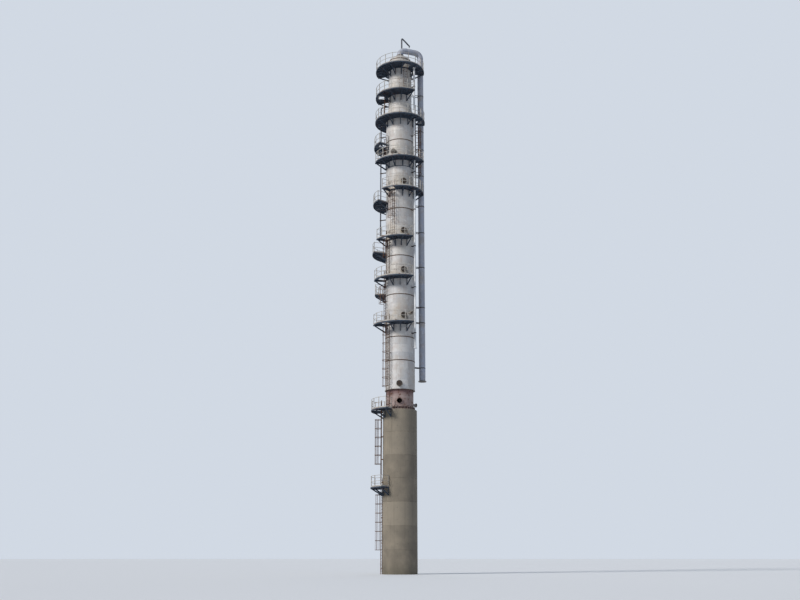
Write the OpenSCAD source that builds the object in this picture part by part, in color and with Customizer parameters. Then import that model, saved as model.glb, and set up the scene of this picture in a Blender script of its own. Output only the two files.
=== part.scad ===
// Distillation column, modelled at half of its real size.
// All sizes are in millimetres of the model, +Z is up and z = 0 is the ground.
// Angles are seen from above: 0 is the right side, 90 the back, 180 the left, 270 the front.

/* [Pedestal and skirt] */
// Height of the round concrete pedestal
pedestal_h = 8100; // [6000:50:9000]
// Outside diameter of the pedestal
pedestal_d = 1750; // [1650:10:2000]
// Thickness of the pedestal wall
pedestal_wall = 200; // [120:5:260]
// Thickness of the pedestal's floor and top slabs
pedestal_slab = 250; // [150:10:400]
// Width of the doorway in the pedestal
door_w = 450; // [350:10:600]
// Height of the doorway in the pedestal
door_h = 1000; // [800:10:1200]
// Height of the steel skirt, base to lower tangent line
skirt_h = 1025; // [900:5:1200]
// Thickness of the skirt plate
skirt_t = 10; // [6:1:16]
// Radius of the access hole in the skirt
access_r = 137; // [110:1:150]
// Width of the base ring outside the skirt
base_ring_w = 100; // [80:5:120]
// Thickness of the base ring
base_ring_t = 20; // [12:1:30]
// Height of the anchor chairs on the base ring
chair_h = 150; // [100:5:180]
// Number of anchor chairs
chair_count = 16; // [12:2:20]
// Width of an anchor chair
chair_w = 120; // [90:5:140]
// Thickness of an anchor chair's plates
chair_t = 10; // [6:1:14]
// Height of the access hole's centre above the pedestal
access_up = 430; // [400:5:480]
// Angle of the access hole
access_angle = 268; // [255:1:285]
// Thickness of the collar around the access hole
collar_t = 12; // [8:1:16]
// Reach of the collar past the skirt
collar_reach = 45; // [30:5:60]
// Radius of a vent hole
vent_r = 25; // [15:1:30]
// Distance of the vents below the skirt's top
vent_down = 90; // [70:5:110]
// Thickness of the sleeve around the bottoms line
sleeve_t = 12; // [8:1:16]
// Gap between the bottoms line and its sleeve
sleeve_gap = 18; // [10:1:25]
// Reach of the sleeve past the skirt
sleeve_reach = 30; // [20:5:50]

/* [Shell] */
// Outside diameter of the lower shell
shell_d = 1400; // [1300:10:1500]
// Outside diameter of the upper shell
top_d = 1150; // [1000:10:1200]
// Thickness of the shell plate
shell_t = 12; // [8:1:20]
// Height of the lower shell
lower_h = 15625; // [15000:25:16500]
// Height of the cone between the shells
cone_h = 500; // [400:10:700]
// Height of the upper shell
upper_h = 2950; // [2850:25:3200]
// Thickness of the insulation with its metal jacket
lagging_t = 75; // [50:1:90]
// Gap at the seams between jacket sections
seam_gap = 6; // [3:1:12]
// Gap between the jacket and what passes through it
sleeve_play = 3; // [2:0.5:6]
// Gap between the cone and its jacket
cone_gap = 2; // [1:0.5:4]

/* [Platforms] */
// Thickness of a deck
deck_t = 12; // [6:1:20]
// Gap between a deck and the jacket
deck_gap = 25; // [15:1:40]
// Depth of the channels that edge a deck
edge_h = 60; // [40:1:90]
// Thickness of the channels that edge a deck
edge_t = 10; // [6:1:16]
// Drop of a bracket below the deck
bracket_h = 420; // [300:10:500]
// Width of a bracket's members
bracket_w = 40; // [25:1:55]
// Thickness of a bracket's members
bracket_t = 30; // [16:1:40]
// Height of the handrail above the deck
rail_h = 550; // [500:10:600]
// Radius of the top rail
rail_r = 12; // [9:0.5:15]
// Width of a rail post
post_w = 28; // [26:1:34]
// Height of the toe board
toe_h = 60; // [40:1:80]
// Thickness of the toe board
toe_t = 4; // [3:0.5:6]
// Gap under the toe board
toe_gap = 5; // [3:1:8]
// Gap around a pipe where it passes a deck
pipe_gap = 20; // [15:1:30]
// Most degrees between two brackets
bracket_step = 32; // [24:1:36]
// Play between a bracket and the edge of a hatch
bracket_play = 5; // [4:1:10]
// Degrees from a deck's end to its last bracket
bracket_end = 3; // [2:0.5:4]
// Most degrees between two posts
post_step = 20; // [15:1:24]

/* [Ladders] */
// Distance between a ladder's side bars
ladder_w = 225; // [200:5:250]
// Distance from the jacket to the rungs
ladder_off = 100; // [80:5:120]
// Spacing of the rungs
rung_step = 150; // [125:5:175]
// Radius of a rung
rung_r = 7; // [5:0.5:10]
// Depth of a side bar
bar_w = 32; // [24:1:40]
// Thickness of a side bar
bar_t = 7; // [5:0.5:10]
// Radius of the safety cage
cage_r = 185; // [170:1:195]
// Height of a cage hoop's strip
hoop_w = 25; // [20:1:32]
// Thickness of a cage hoop's strip
hoop_t = 4; // [3:0.5:6]
// Thickness of the cage's upright straps
strap_t = 5; // [4:0.5:8]
// Spacing of the cage hoops
hoop_step = 450; // [350:10:600]
// Height of the first hoop above the foot
hoop_start = 1150; // [1000:10:1300]
// Distance from the last hoop to the channels of the deck above
hoop_gap = 40; // [30:5:60]
// Width of the lug that holds a hoop to a side bar
lug_w = 24; // [20:1:28]
// Thickness of the lug that holds a hoop to a side bar
lug_t = 10; // [8:1:12]
// Width of a ladder's hatch in a deck
hatch_w = 330; // [310:5:350]
// Height of a ladder's side bars above its top deck
ladder_past = 500; // [450:10:550]
// Most distance between two ties
tie_step = 1500; // [1200:50:1600]
// Distance from a ladder's ends to its outer ties
tie_in = 240; // [200:10:260]

/* [Pipes and manways] */
// Outside diameter of the overhead vapour line
overhead_d = 325; // [280:5:340]
// Distance of the overhead line from the column's axis
overhead_r = 1250; // [1200:5:1300]
// Height of the overhead line's lower end
overhead_end = 9700; // [9400:50:10200]
// Outside diameter of the reflux line
reflux_d = 100; // [80:2:120]
// Distance of the reflux line from the column's axis
reflux_r = 970; // [950:5:1000]
// Outside diameter of the riser on the left
riser_d = 70; // [50:2:90]
// Distance of the riser from the column's axis
riser_r = 1147; // [1130:1:1170]
// Outside diameter of a manway neck
manway_d = 230; // [200:5:260]
// Reach of a manway neck past the jacket
manway_reach = 130; // [100:5:160]
// Height of a manway above its deck
manway_up = 430; // [380:10:480]
// Height of the lowest manway above the skirt
manway_low = 275; // [240:5:300]
// Angle of the manways above the lower decks
manway_angle = 283; // [275:1:290]
// Angle of the manway above deck 8
manway_8_angle = 246; // [242:1:250]
// Width of a manway's flange outside its neck
manway_rim = 40; // [35:1:50]
// Thickness of a manway's flange
manway_flange_t = 20; // [16:1:24]
// Thickness of a manway's cover
cover_t = 22; // [18:1:28]
// Thickness of a manway's neck
manway_wall = 8; // [6:1:12]
// Width of a cover's grip
grip_w = 100; // [80:5:120]
// Thickness of a cover's grip
grip_t = 10; // [8:1:14]
// Reach of a nozzle past the jacket
nozzle_reach = 120; // [110:5:150]
// Height of the side draw above deck 1
draw_up = 620; // [600:5:650]
// Outside diameter of the side draw
draw_d = 90; // [70:2:100]
// Height of the boiled vapour's return above the skirt
return_up = 900; // [850:10:950]
// Outside diameter of the return
return_d = 220; // [180:5:240]
// Height of the feed above deck 3
feed_up = 700; // [600:10:800]
// Height of the upper feed above deck 7
upper_feed_up = 600; // [500:10:700]
// Outside diameter of the feeds
feed_d = 160; // [130:5:180]
// Drop of the side reflux below deck 10
side_reflux_down = 700; // [600:10:750]
// Outside diameter of the side reflux
side_reflux_d = 110; // [90:5:130]
// Wall of the small pipes
pipe_wall = 5; // [4:0.5:7]
// Wall of the overhead line
overhead_wall = 8; // [6:0.5:10]
// Thickness of a small pipe's flange
flange_t = 18; // [14:1:22]
// Width of a small flange outside its pipe
flange_rim = 42; // [38:1:48]
// Distance of a small flange's bolts outside its pipe
bolt_out = 23; // [20:1:26]
// Radius of a small flange's bolt holes
bolt_r = 8; // [6:0.5:9]
// Bolt holes in a small flange
bolt_count = 8; // [8:4:12]
// Width of the overhead line's flanges outside the pipe
overhead_rim = 55; // [50:1:62]
// Distance of the overhead line's bolts outside the pipe
overhead_bolt_out = 30; // [26:1:34]
// Radius of the overhead line's bolt holes
overhead_hole_r = 10; // [8:0.5:12]
// Bolt holes in an overhead flange
overhead_bolts = 20; // [16:4:24]
// Thickness of the overhead line's lower flange
overhead_flange_t = 30; // [24:1:36]
// Height of the upper flange pair above the top's jacket
overhead_flange_up = 60; // [50:5:70]
// Height of the upper flange pair
overhead_pair_t = 60; // [50:2:70]
// Height of the overhead line's bend above the top's jacket
overhead_neck = 175; // [160:5:220]
// Angle of the overhead line
overhead_angle = 20; // [16:1:26]
// Angle of the reflux line
reflux_angle = 325.5; // [322:0.5:330]
// Height of the reflux line's lower end
reflux_end = 11300; // [10800:50:11600]
// Height of the reflux nozzle above the top deck
reflux_up = 400; // [350:10:450]
// Radius of the reflux line's bend
reflux_bend = 110; // [100:5:130]
// Angle of the riser
riser_angle = 159.5; // [155:0.5:162]
// Height of the riser's lower nozzle above its deck
riser_foot_up = 350; // [300:10:400]
// Height of the riser's upper nozzle above its deck
riser_top_up = 1150; // [1050:10:1250]
// Radius of the riser's bends
riser_bend = 90; // [80:5:120]
// Height of the bottoms line above the pedestal
bottoms_up = 380; // [350:5:400]
// Angle of the bottoms line
bottoms_angle = 35; // [30:1:45]
// Reach of the bottoms line past the skirt
bottoms_reach = 330; // [280:10:380]
// Radius of the bottoms line's bend
bottoms_bend = 150; // [135:5:180]
// Height of a pipe guide's ring
guide_h = 50; // [40:1:60]
// Thickness of a pipe guide's ring
guide_t = 10; // [8:1:14]
// Width of a pipe guide's arms
arm_w = 16; // [12:1:20]
// Height of a pipe guide's arms
arm_h = 40; // [30:1:44]
// Outside diameter of the bottoms line
bottoms_d = 130; // [100:5:150]

/* [Davit] */
// Height of the davit above the top deck
davit_h = 2750; // [2500:10:2900]
// Reach of the davit's arm
davit_reach = 1030; // [900:10:1150]
// Radius of the davit's mast
mast_r = 42; // [34:1:50]
// Gap between the mast and its guides
mast_gap = 2; // [1:0.5:4]
// Angle at which the davit stands
davit_angle = 83; // [75:1:95]
// Angle that the davit's arm points to at rest
davit_turn = 63; // [50:1:80]
// Distance of the mast from the jacket
davit_off = 170; // [150:5:200]
// Drop of the mast's foot below the top deck
davit_drop = 250; // [200:10:300]
// Height of the upper guide above the top deck
davit_guide_up = 350; // [300:10:400]
// Height of the lower guide above the mast's foot
davit_guide_low = 60; // [50:5:90]
// Height of a guide ring
socket_h = 90; // [70:5:110]
// Wall of the foot cup and the guide rings
socket_t = 12; // [8:1:16]
// Thickness of the foot cup's floor
cup_floor = 30; // [20:1:40]
// Width of the socket's plates
plate_w = 80; // [60:5:90]
// Thickness of the socket's plates
plate_t = 16; // [12:1:20]
// Radius of the davit's bend
davit_bend = 150; // [120:5:200]
// Length of the lug at the arm's end
eye_w = 60; // [50:2:80]
// Height of the lug at the arm's end
eye_h = 80; // [70:2:100]
// Distance from the arm's axis to the lug's lower edge
eye_drop = 110; // [100:2:130]

/* [Elevations] */
// Deck 1 above the ground
deck_1_z = 12600; // [12300:50:12800]
// Deck 2 above the ground
deck_2_z = 14350; // [14200:50:14400]
// Deck 3 above the ground
deck_3_z = 15100; // [15050:50:15300]
// Deck 4 above the ground
deck_4_z = 16600; // [16500:50:16650]
// Deck 5 above the ground
deck_5_z = 17300; // [17250:50:17500]
// Deck 6 above the ground
deck_6_z = 19450; // [19300:50:19500]
// Deck 7 above the ground
deck_7_z = 20150; // [20100:50:20300]
// Deck 8 above the ground
deck_8_z = 21900; // [21800:50:22000]
// Deck 9 above the ground
deck_9_z = 22850; // [22800:50:23000]
// Deck 10 above the ground
deck_10_z = 24425; // [24300:25:24500]
// Deck 11 above the ground
deck_11_z = 25950; // [25900:50:26100]
// Deck 12 above the ground
deck_12_z = 27600; // [27500:50:27700]
// Lower landing on the pedestal
landing_1_z = 4200; // [4000:50:4400]
// First jacket seam above the ground
seam_1_z = 10650; // [10500:50:10800]
// Second jacket seam above the ground
seam_2_z = 11900; // [11700:50:12100]
// Third jacket seam above the ground
seam_3_z = 14200; // [14000:50:14300]
// Fourth jacket seam above the ground
seam_4_z = 16350; // [16200:50:16450]
// Fifth jacket seam above the ground
seam_5_z = 19050; // [18900:50:19200]
// Sixth jacket seam above the ground
seam_6_z = 23100; // [23000:50:23300]

/* [Hidden] */
$fn = 192;

// Pieces that seat on each other lie this far apart
seat = 0.3;
// A cut runs this far past the face that it opens
past = 1;
// A channel lies this far inside the edges that it closes
edge_in = 2;
// A ring channel ends this many degrees short of its deck, inside the end channel
edge_turn = 0.25;
// A post stands this far above the rail's top
post_past = 2;
// A ladder's ties are thinner than its side bars by a little on each side
tie_t = bar_t - 2;

steel = "dimgray";

shell_r = shell_d / 2;
top_r = top_d / 2;
clad_r = shell_r + lagging_t;
clad_top_r = top_r + lagging_t;
base_z = pedestal_h + seat;
skirt_z = pedestal_h + skirt_h;
cone_z = skirt_z + lower_h;
upper_z = cone_z + cone_h;
head_z = upper_z + upper_h;
// A 2:1 head is a quarter of its diameter deep
head_h = top_r / 2;
bottom_head_h = shell_r / 2;

// Each deck: its height, outer radius, first and last angle, and the radius of the jacket
wide_r = 1400;
narrow_r = 1300;
decks = [
    [deck_1_z, 1450, 192, 300, clad_r],
    [deck_2_z, 1350, 135, 183, clad_r],
    [deck_3_z, wide_r, 185, 301, clad_r],
    [deck_4_z, 1500, 130, 201, clad_r],
    [deck_5_z, wide_r, 204, 301, clad_r],
    [deck_6_z, 1480, 131, 216, clad_r],
    [deck_7_z, narrow_r, 220, 368, clad_r],
    [deck_8_z, wide_r, 188, 342, clad_r],
    [deck_9_z, 1450, 145, 219, clad_r],
    [deck_10_z, wide_r, 50, 369, clad_r],
    [deck_11_z, 1380, 152, 308, clad_top_r],
    [deck_12_z, 1380, 154, 369, clad_top_r]];
pedestal_r = pedestal_d / 2;
landing_r = 1500;
landing_2_z = pedestal_h + deck_t;
landing_decks = [
    [landing_1_z, landing_r, 150, 232, pedestal_r],
    [landing_2_z, landing_r, 150, 242, pedestal_r]];

// Each ladder: the heights of its foot and its top deck, its angle, the radius that its rungs
// are set off from, and the radii of what its lowest tie and its other ties are fixed to
pedestal_ladders = [
    [0, landing_1_z, 163, pedestal_r, pedestal_r, pedestal_r],
    [landing_1_z, landing_2_z, 190, pedestal_r, pedestal_r, pedestal_r],
    [landing_2_z, deck_1_z, 224, clad_r, shell_r, clad_r]];
lower_ladders = [
    [deck_1_z, deck_3_z, 203, clad_r, clad_r, clad_r],
    [deck_3_z, deck_5_z, 223, clad_r, clad_r, clad_r],
    [deck_5_z, deck_7_z, 243, clad_r, clad_r, clad_r]];
upper_ladders = [
    [deck_7_z, deck_10_z, 355, clad_r, clad_r, clad_r],
    [deck_8_z, deck_9_z, 201, clad_r, clad_r, clad_r],
    [deck_10_z, deck_11_z, 186, clad_r, clad_r, clad_top_r],
    [deck_11_z, deck_12_z, 294, clad_top_r, clad_top_r, clad_top_r]];
ladders = concat(pedestal_ladders, lower_ladders, upper_ladders);

// Each manway: its height and angle
manways = [
    [skirt_z + manway_low, access_angle],
    [deck_1_z + manway_up, manway_angle],
    [deck_3_z + manway_up, manway_angle],
    [deck_5_z + manway_up, manway_angle],
    [deck_7_z + manway_up, manway_angle],
    [deck_8_z + manway_up, manway_8_angle]];

// Each nozzle: its height, angle, outside diameter and the radius of the shell
nozzle_list = [
    [deck_1_z + draw_up, 317, draw_d, shell_r],
    [skirt_z + return_up, 70, return_d, shell_r],
    [deck_3_z + feed_up, 100, feed_d, shell_r],
    [deck_7_z + upper_feed_up, 75, feed_d, shell_r],
    [deck_10_z - side_reflux_down, 115, side_reflux_d, shell_r]];

// Angles of the straps in a cage, from its front
strap_angles = [-80 : 40 : 80];

// Heights at which the pipes start and end
overhead_bend = overhead_d;
overhead_top = head_z + head_h + lagging_t + overhead_neck + overhead_bend;
reflux_top = deck_12_z + reflux_up;
riser_foot = deck_5_z + riser_foot_up;
riser_top = deck_10_z + riser_top_up;

// Each upright pipe: its angle, distance from the axis, diameter, lower end and upper end
upright_pipes = [
    [reflux_angle, reflux_r, reflux_d, reflux_end, reflux_top],
    [riser_angle, riser_r, riser_d, riser_foot, riser_top],
    [overhead_angle, overhead_r, overhead_d, overhead_end, overhead_top]];

// Heights of the pipe guides on the wide and on the narrow part of the body
overhead_guides = [10400, 12850, 13700, 15950, 17950, 19500, 21300, 22900, 24000];
overhead_top_guides = [26250];
reflux_guides = [12100, 14600, 16900, 19000, 21200, 23400];
reflux_top_guides = [26400];
riser_guides = [18700, 21500, 23700];

// Seams of the jacket, from the skirt up
jacket_foot = skirt_z + 10;
lower_seams = [jacket_foot, seam_1_z, seam_2_z, seam_3_z, seam_4_z];
middle_seams = [seam_4_z, seam_5_z, seam_6_z, cone_z];

access_z = pedestal_h + access_up;
bottoms_z = pedestal_h + bottoms_up;
bottoms_end = shell_r + bottoms_reach;
davit_at = clad_top_r + davit_off;
davit_foot = deck_12_z - davit_drop;
guide_z = [davit_foot + davit_guide_low, deck_12_z + davit_guide_up];
// A cut through the skirt or a neck starts this far inside the face
cut_in = 200;
// A neck starts this far inside the shell
neck_in = 20;

module at(angle, r, z) rotate([0, 0, angle]) translate([r, 0, z]) children();

// A level ring, or a part of one, with its underside at z
module ring(r_in, r_out, z, h, from = 0, to = 360) {
    translate([0, 0, z]) rotate([0, 0, from]) rotate_extrude(angle = to - from)
        translate([r_in, 0]) square([r_out - r_in, h]);
}

module tube(r_out, r_in, z, h) translate([0, 0, z]) difference() {
    cylinder(r = r_out, h = h);
    translate([0, 0, -past]) cylinder(r = r_in, h = h + 2 * past);
}

// A level rod that points outwards from the axis
module radial(r, from_r, to_r, angle, z) {
    at(angle, from_r, z) rotate([0, 90, 0]) cylinder(r = r, h = to_r - from_r);
}

// Half of a 2:1 ellipse as wall profile, on the axis side
function bowl(r, h, n) = [for (i = [0 : n]) [r * cos(90 * i / n), h * sin(90 * i / n)]];

module head(r, h, t) rotate_extrude() difference() {
    polygon(concat([[0, 0]], bowl(r, h, 14)));
    polygon(concat([[0, -past], [r - t, -past]], bowl(r - t, h - t, 14)));
}

module nozzle_holes(gap) {
    for (m = manways) radial(manway_d / 2 + gap, 0, clad_r + past, m[1], m[0]);
    for (n = nozzle_list) radial(n[2] / 2 + gap, 0, clad_r + past, n[1], n[0]);
    radial(riser_d / 2 + gap, 0, clad_r + past, riser_angle, riser_foot);
    radial(riser_d / 2 + gap, 0, clad_r + past, riser_angle, riser_top);
    radial(reflux_d / 2 + gap, 0, clad_r + past, reflux_angle, reflux_top);
}

// Round concrete pedestal, hollow, with a doorway at the back
module pedestal() {
    r = pedestal_d / 2;
    color("darkseagreen") difference() {
        cylinder(r = r, h = pedestal_h);
        translate([0, 0, pedestal_slab])
            cylinder(r = r - pedestal_wall, h = pedestal_h - 2 * pedestal_slab);
        translate([-door_w / 2, 0, pedestal_slab]) cube([door_w, r + past, door_h]);
    }
}

// Base ring and top ring of the skirt, with the anchor chairs between them
module base_ring() {
    r = shell_r + base_ring_w;
    chair_d = base_ring_w - base_ring_t - edge_in - seat;
    color("saddlebrown") union() {
        ring(shell_r - base_ring_w, r, base_z, base_ring_t);
        ring(shell_r + seat, r - base_ring_t, base_z + chair_h - base_ring_t, base_ring_t);
        for (i = [0 : chair_count - 1], side = [-1, 1])
            at(360 * (i + 0.5) / chair_count, shell_r + edge_in, base_z + base_ring_t / 2)
                translate([0, side * chair_w / 2 - chair_t / 2, 0])
                    cube([chair_d, chair_t, chair_h - base_ring_t]);
    }
}

// Bare steel skirt with its access hole, pipe sleeve and vents
module skirt() {
    foot = base_z + base_ring_t + seat;
    inner = shell_r - skirt_t;
    start = shell_r - cut_in;
    sleeve_r = bottoms_d / 2 + sleeve_gap;
    color("rosybrown") difference() {
        union() {
            tube(shell_r, inner, foot, skirt_z - foot);
            radial(access_r + collar_t, inner, shell_r + collar_reach, access_angle, access_z);
            radial(sleeve_r + sleeve_t, inner, shell_r + sleeve_reach, bottoms_angle, bottoms_z);
        }
        radial(access_r, start, shell_r + collar_reach + past, access_angle, access_z);
        radial(sleeve_r, start, shell_r + sleeve_reach + past, bottoms_angle, bottoms_z);
        for (a = [45 : 90 : 315]) radial(vent_r, start, shell_r + past, a, skirt_z - vent_down);
    }
}

module bottom_head() {
    r = shell_r - skirt_t - seat;
    color(steel) difference() {
        translate([0, 0, skirt_z]) mirror([0, 0, 1]) head(r, bottom_head_h, shell_t);
        translate([0, 0, bottoms_z]) cylinder(r = bottoms_d / 2 + seat, h = skirt_z - bottoms_z);
    }
}

module shell_lower() color(steel) difference() {
    tube(shell_r, shell_r - shell_t, skirt_z + seat, lower_h - seat);
    nozzle_holes(seat);
}

module shell_cone() color(steel) translate([0, 0, cone_z + seat]) difference() {
    cylinder(r1 = shell_r, r2 = top_r, h = cone_h - 2 * seat);
    translate([0, 0, -past])
        cylinder(r1 = shell_r - shell_t, r2 = top_r - shell_t, h = cone_h + 2 * past - 2 * seat);
}

module shell_upper() color(steel) difference() {
    tube(top_r, top_r - shell_t, upper_z, upper_h);
    nozzle_holes(seat);
}

overhead_nozzle_r = overhead_d / 2;

module top_head() color(steel) difference() {
    translate([0, 0, head_z + seat]) head(top_r, head_h, shell_t);
    translate([0, 0, head_z + past]) cylinder(r = overhead_nozzle_r + seat, h = head_h + past);
}

// One jacket section of the given radius, from one seam to the next
module jacket(r, z0, z1) difference() {
    tube(r, r - lagging_t + seat, z0 + seam_gap / 2, z1 - z0 - seam_gap);
    nozzle_holes(sleeve_play);
}

module jacket_lower() color("silver")
    for (i = [0 : len(lower_seams) - 2]) jacket(clad_r, lower_seams[i], lower_seams[i + 1]);

module jacket_middle() color("silver")
    for (i = [0 : len(middle_seams) - 2]) jacket(clad_r, middle_seams[i], middle_seams[i + 1]);

module jacket_upper() color("silver") {
    translate([0, 0, cone_z + seam_gap / 2]) difference() {
        cylinder(r1 = clad_r, r2 = clad_top_r, h = cone_h - seam_gap);
        translate([0, 0, -past])
            cylinder(r1 = shell_r + cone_gap, r2 = top_r + cone_gap, h = cone_h + past);
    }
    jacket(clad_top_r, upper_z, head_z);
    translate([0, 0, head_z + seam_gap / 2]) difference() {
        rotate_extrude() polygon(concat([[0, 0]], bowl(clad_top_r, head_h + lagging_t, 14)));
        rotate_extrude() polygon(concat([[0, -past], [top_r + seat, -past]],
            bowl(top_r + seat, head_h + seat, 14)));
        cylinder(r = overhead_nozzle_r + sleeve_play, h = head_h + lagging_t + past);
    }
}

// What passes through the decks: the ladders' climbing space and the pipes
module deck_voids(d) {
    for (l = ladders) if (l[1] == d[0])
        at(l[2], l[3] + ladder_off - bar_w, d[0] - bracket_h - past)
            translate([0, -hatch_w / 2, 0]) cube([cage_r * 2, hatch_w, bracket_h + 2 * past]);
    for (p = upright_pipes) if (passes(p, d)) at(p[0], p[1], d[0] - bracket_h - past)
        cylinder(r = p[2] / 2 + pipe_gap, h = bracket_h + 2 * past);
}

function passes(p, d) = p[3] < d[0] && p[4] > d[0] && p[0] > d[2] && p[0] < d[3];

// Angles at which a deck has a bracket, clear of its hatch and of the pipes
function hatch_angle(d) = asin((hatch_w / 2 + bracket_t / 2 + bracket_play) / (d[4] + ladder_off - bar_w));
function pipe_angle(p) = asin((p[2] / 2 + pipe_gap + bracket_t) / p[1]);
function clear_of(a, d) =
    len([for (l = ladders) if (l[1] == d[0] && abs(l[2] - a) < hatch_angle(d)) 1]) == 0 &&
    len([for (p = upright_pipes) if (passes(p, d) && abs(p[0] - a) < pipe_angle(p)) 1]) == 0;
function bracket_angles(d) = let (n = ceil((d[3] - d[2]) / bracket_step))
    [for (i = [0 : n]) let (a = d[2] + bracket_end + (d[3] - d[2] - 2 * bracket_end) * i / n)
        if (clear_of(a, d)) a];

// Triangular bracket, with its back against the jacket
module bracket(d) {
    back = d[4] + seat;
    tip = d[1] - edge_in - edge_t / 2;
    top = -deck_t / 2;
    w = bracket_w;
    translate([0, bracket_t / 2, 0]) rotate([90, 0, 0]) linear_extrude(bracket_t) difference() {
        polygon([[back, top], [tip, top], [tip, -edge_h + edge_t],
            [back + w, -bracket_h], [back, -bracket_h]]);
        polygon([[back + w, -edge_h], [tip - 3 * w, -edge_h],
            [back + w, -bracket_h + 2.2 * w]]);
    }
}

// Flat ring that ties the feet of a deck's brackets
module foot_ring(d) {
    r = d[4] + seat + edge_in;
    ring(r, r + bracket_w / 2, d[0] - bracket_h + edge_t, bracket_t,
        d[2] + bracket_end, d[3] - bracket_end);
}

// Deck with the channels that edge it and the brackets that carry it
module platform(d) {
    r_in = d[4] + deck_gap;
    ring_h = edge_h - deck_t / 2;
    end_h = ring_h - edge_in;
    difference() {
        union() {
            ring(r_in, d[1], d[0] - deck_t, deck_t, d[2], d[3]);
            for (r = [r_in + edge_in, d[1] - edge_in - edge_t])
                ring(r, r + edge_t, d[0] - edge_h, ring_h, d[2] + edge_turn, d[3] - edge_turn);
            for (e = [[d[2], edge_in], [d[3], -edge_t - edge_in]])
                at(e[0], r_in + edge_in + edge_t / 2, d[0] - edge_h + edge_in)
                    translate([0, e[1], 0])
                        cube([d[1] - r_in - 2 * edge_in - edge_t, edge_t, end_h]);
            for (a = bracket_angles(d)) at(a, 0, d[0]) bracket(d);
            if (d[0] == deck_8_z) foot_ring(d);
        }
        deck_voids(d);
    }
}

// Posts, top rail, knee rail and toe board along a deck's outer edge and its two ends
module rails(d) {
    r = d[1] - post_w;
    end_in = d[4] + deck_gap + post_w;
    inset = asin(post_w / r);
    from = d[2] + inset;
    to = d[3] - inset;
    posts = ceil((to - from) / post_step);
    post_h = rail_h + rail_r + post_past - seat;
    inside = post_w / 2 - post_past / 2;
    for (i = [0 : posts]) at(from + (to - from) * i / posts, r, d[0] + seat)
        translate([-post_w / 2, -post_w / 2, 0]) cube([post_w, post_w, post_h]);
    for (k = [0.5, 1]) translate([0, 0, d[0] + rail_h * k]) rotate([0, 0, from])
        rotate_extrude(angle = to - from) translate([r, 0]) circle(r = rail_r, $fn = 32);
    ring(r - toe_t / 2, r + toe_t / 2, d[0] + toe_gap, toe_h, from, to);
    for (a = [from, to]) {
        for (k = [0.5, 1]) radial(rail_r, end_in, r - inside, a, d[0] + rail_h * k);
        at(a, end_in, d[0] + seat) translate([-post_w / 2, -post_w / 2, 0])
            cube([post_w, post_w, post_h]);
        at(a, end_in, d[0] + toe_gap) translate([0, -toe_t / 2, 0])
            cube([r - inside - end_in, toe_t, toe_h]);
    }
}

// Side bars with their rungs, and the ties that hold them to the wall
module ladder(l) {
    foot = l[0] + (l[0] > 0 ? seat : 0);
    tall = l[1] - l[0];
    ties = max(1, round(tall / tie_step));
    at(l[2], l[3], 0) {
        for (s = [-1, 1])
            translate([ladder_off - bar_w / 2, s * ladder_w / 2 - bar_t / 2, foot])
                cube([bar_w, bar_t, l[1] + ladder_past - foot]);
        for (i = [1 : floor(tall / rung_step)])
            translate([ladder_off, -ladder_w / 2, l[0] + i * rung_step - rung_r])
                rotate([-90, 0, 0]) cylinder(r = rung_r, h = ladder_w, $fn = 8);
        for (i = [0 : ties], s = [-1, 1]) {
            wall = l[i == 0 ? 4 : 5];
            back = sqrt(wall * wall - pow((ladder_w - tie_t) / 2, 2)) - l[3] + seat;
            translate([back, s * ladder_w / 2 - tie_t / 2,
                l[0] + tie_in + i * (tall - 2 * tie_in) / ties])
                cube([ladder_off - bar_w / 2 - seat - back, tie_t, bar_w]);
        }
    }
}

// One hoop of a cage, open towards the ladder, with a lug beside each side bar
module hoop(centre) {
    lug_y = ladder_w / 2 + bar_t / 2 + seat + lug_t / 2;
    turn = 180 - asin(lug_y / cage_r);
    translate([centre, 0, 0]) rotate([0, 0, -turn])
        rotate_extrude(angle = 2 * turn, $fn = 48)
            translate([cage_r - hoop_t / 2, 0]) square([hoop_t, hoop_w]);
    for (s = [-1, 1])
        translate([ladder_off - lug_w / 2, s * lug_y - lug_t / 2, -edge_in])
            cube([lug_w, lug_t, hoop_w + 2 * edge_in]);
}

// Safety cage of a ladder that is tall enough: its hoops, and the straps inside them
module cage(l) {
    centre = ladder_off + sqrt(cage_r * cage_r - ladder_w * ladder_w / 4);
    hoops = floor((l[1] - l[0] - edge_h - hoop_gap - hoop_start) / hoop_step);
    strap_out = sqrt(pow(cage_r - hoop_t / 2 - seat, 2) - hoop_w * hoop_w / 4);
    if (hoops > 0) at(l[2], l[3], l[0] + hoop_start) {
        for (i = [0 : hoops]) translate([0, 0, i * hoop_step]) hoop(centre);
        for (a = strap_angles)
            translate([centre, 0, hoop_t]) rotate([0, 0, a])
                translate([strap_out - strap_t, -hoop_w / 2, 0])
                    cube([strap_t, hoop_w, hoops * hoop_step + hoop_w - 2 * hoop_t]);
    }
}

module manway_neck(m) {
    end = clad_r + manway_reach;
    difference() {
        union() {
            radial(manway_d / 2, shell_r - shell_t - neck_in, end - edge_in, m[1], m[0]);
            radial(manway_d / 2 + manway_rim, end - manway_flange_t, end, m[1], m[0]);
        }
        radial(manway_d / 2 - manway_wall, shell_r - cut_in, end + past, m[1], m[0]);
    }
}

// Blind cover with a grip bar on two feet
module manway_cover(m) {
    face = clad_r + manway_reach + seat;
    foot_h = cover_t + 2 * grip_t;
    radial(manway_d / 2 + manway_rim, face, face + cover_t, m[1], m[0]);
    at(m[1], face, m[0]) {
        for (s = [-1, 1])
            translate([cover_t - edge_in, s * (grip_w / 2 - grip_t) - grip_t / 2, -grip_t / 2])
                cube([foot_h - cover_t + edge_in, grip_t, grip_t]);
        translate([foot_h - edge_in, -grip_w / 2, -grip_t / 2 - past])
            cube([grip_t, grip_w, grip_t + 2 * past]);
    }
}

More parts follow.
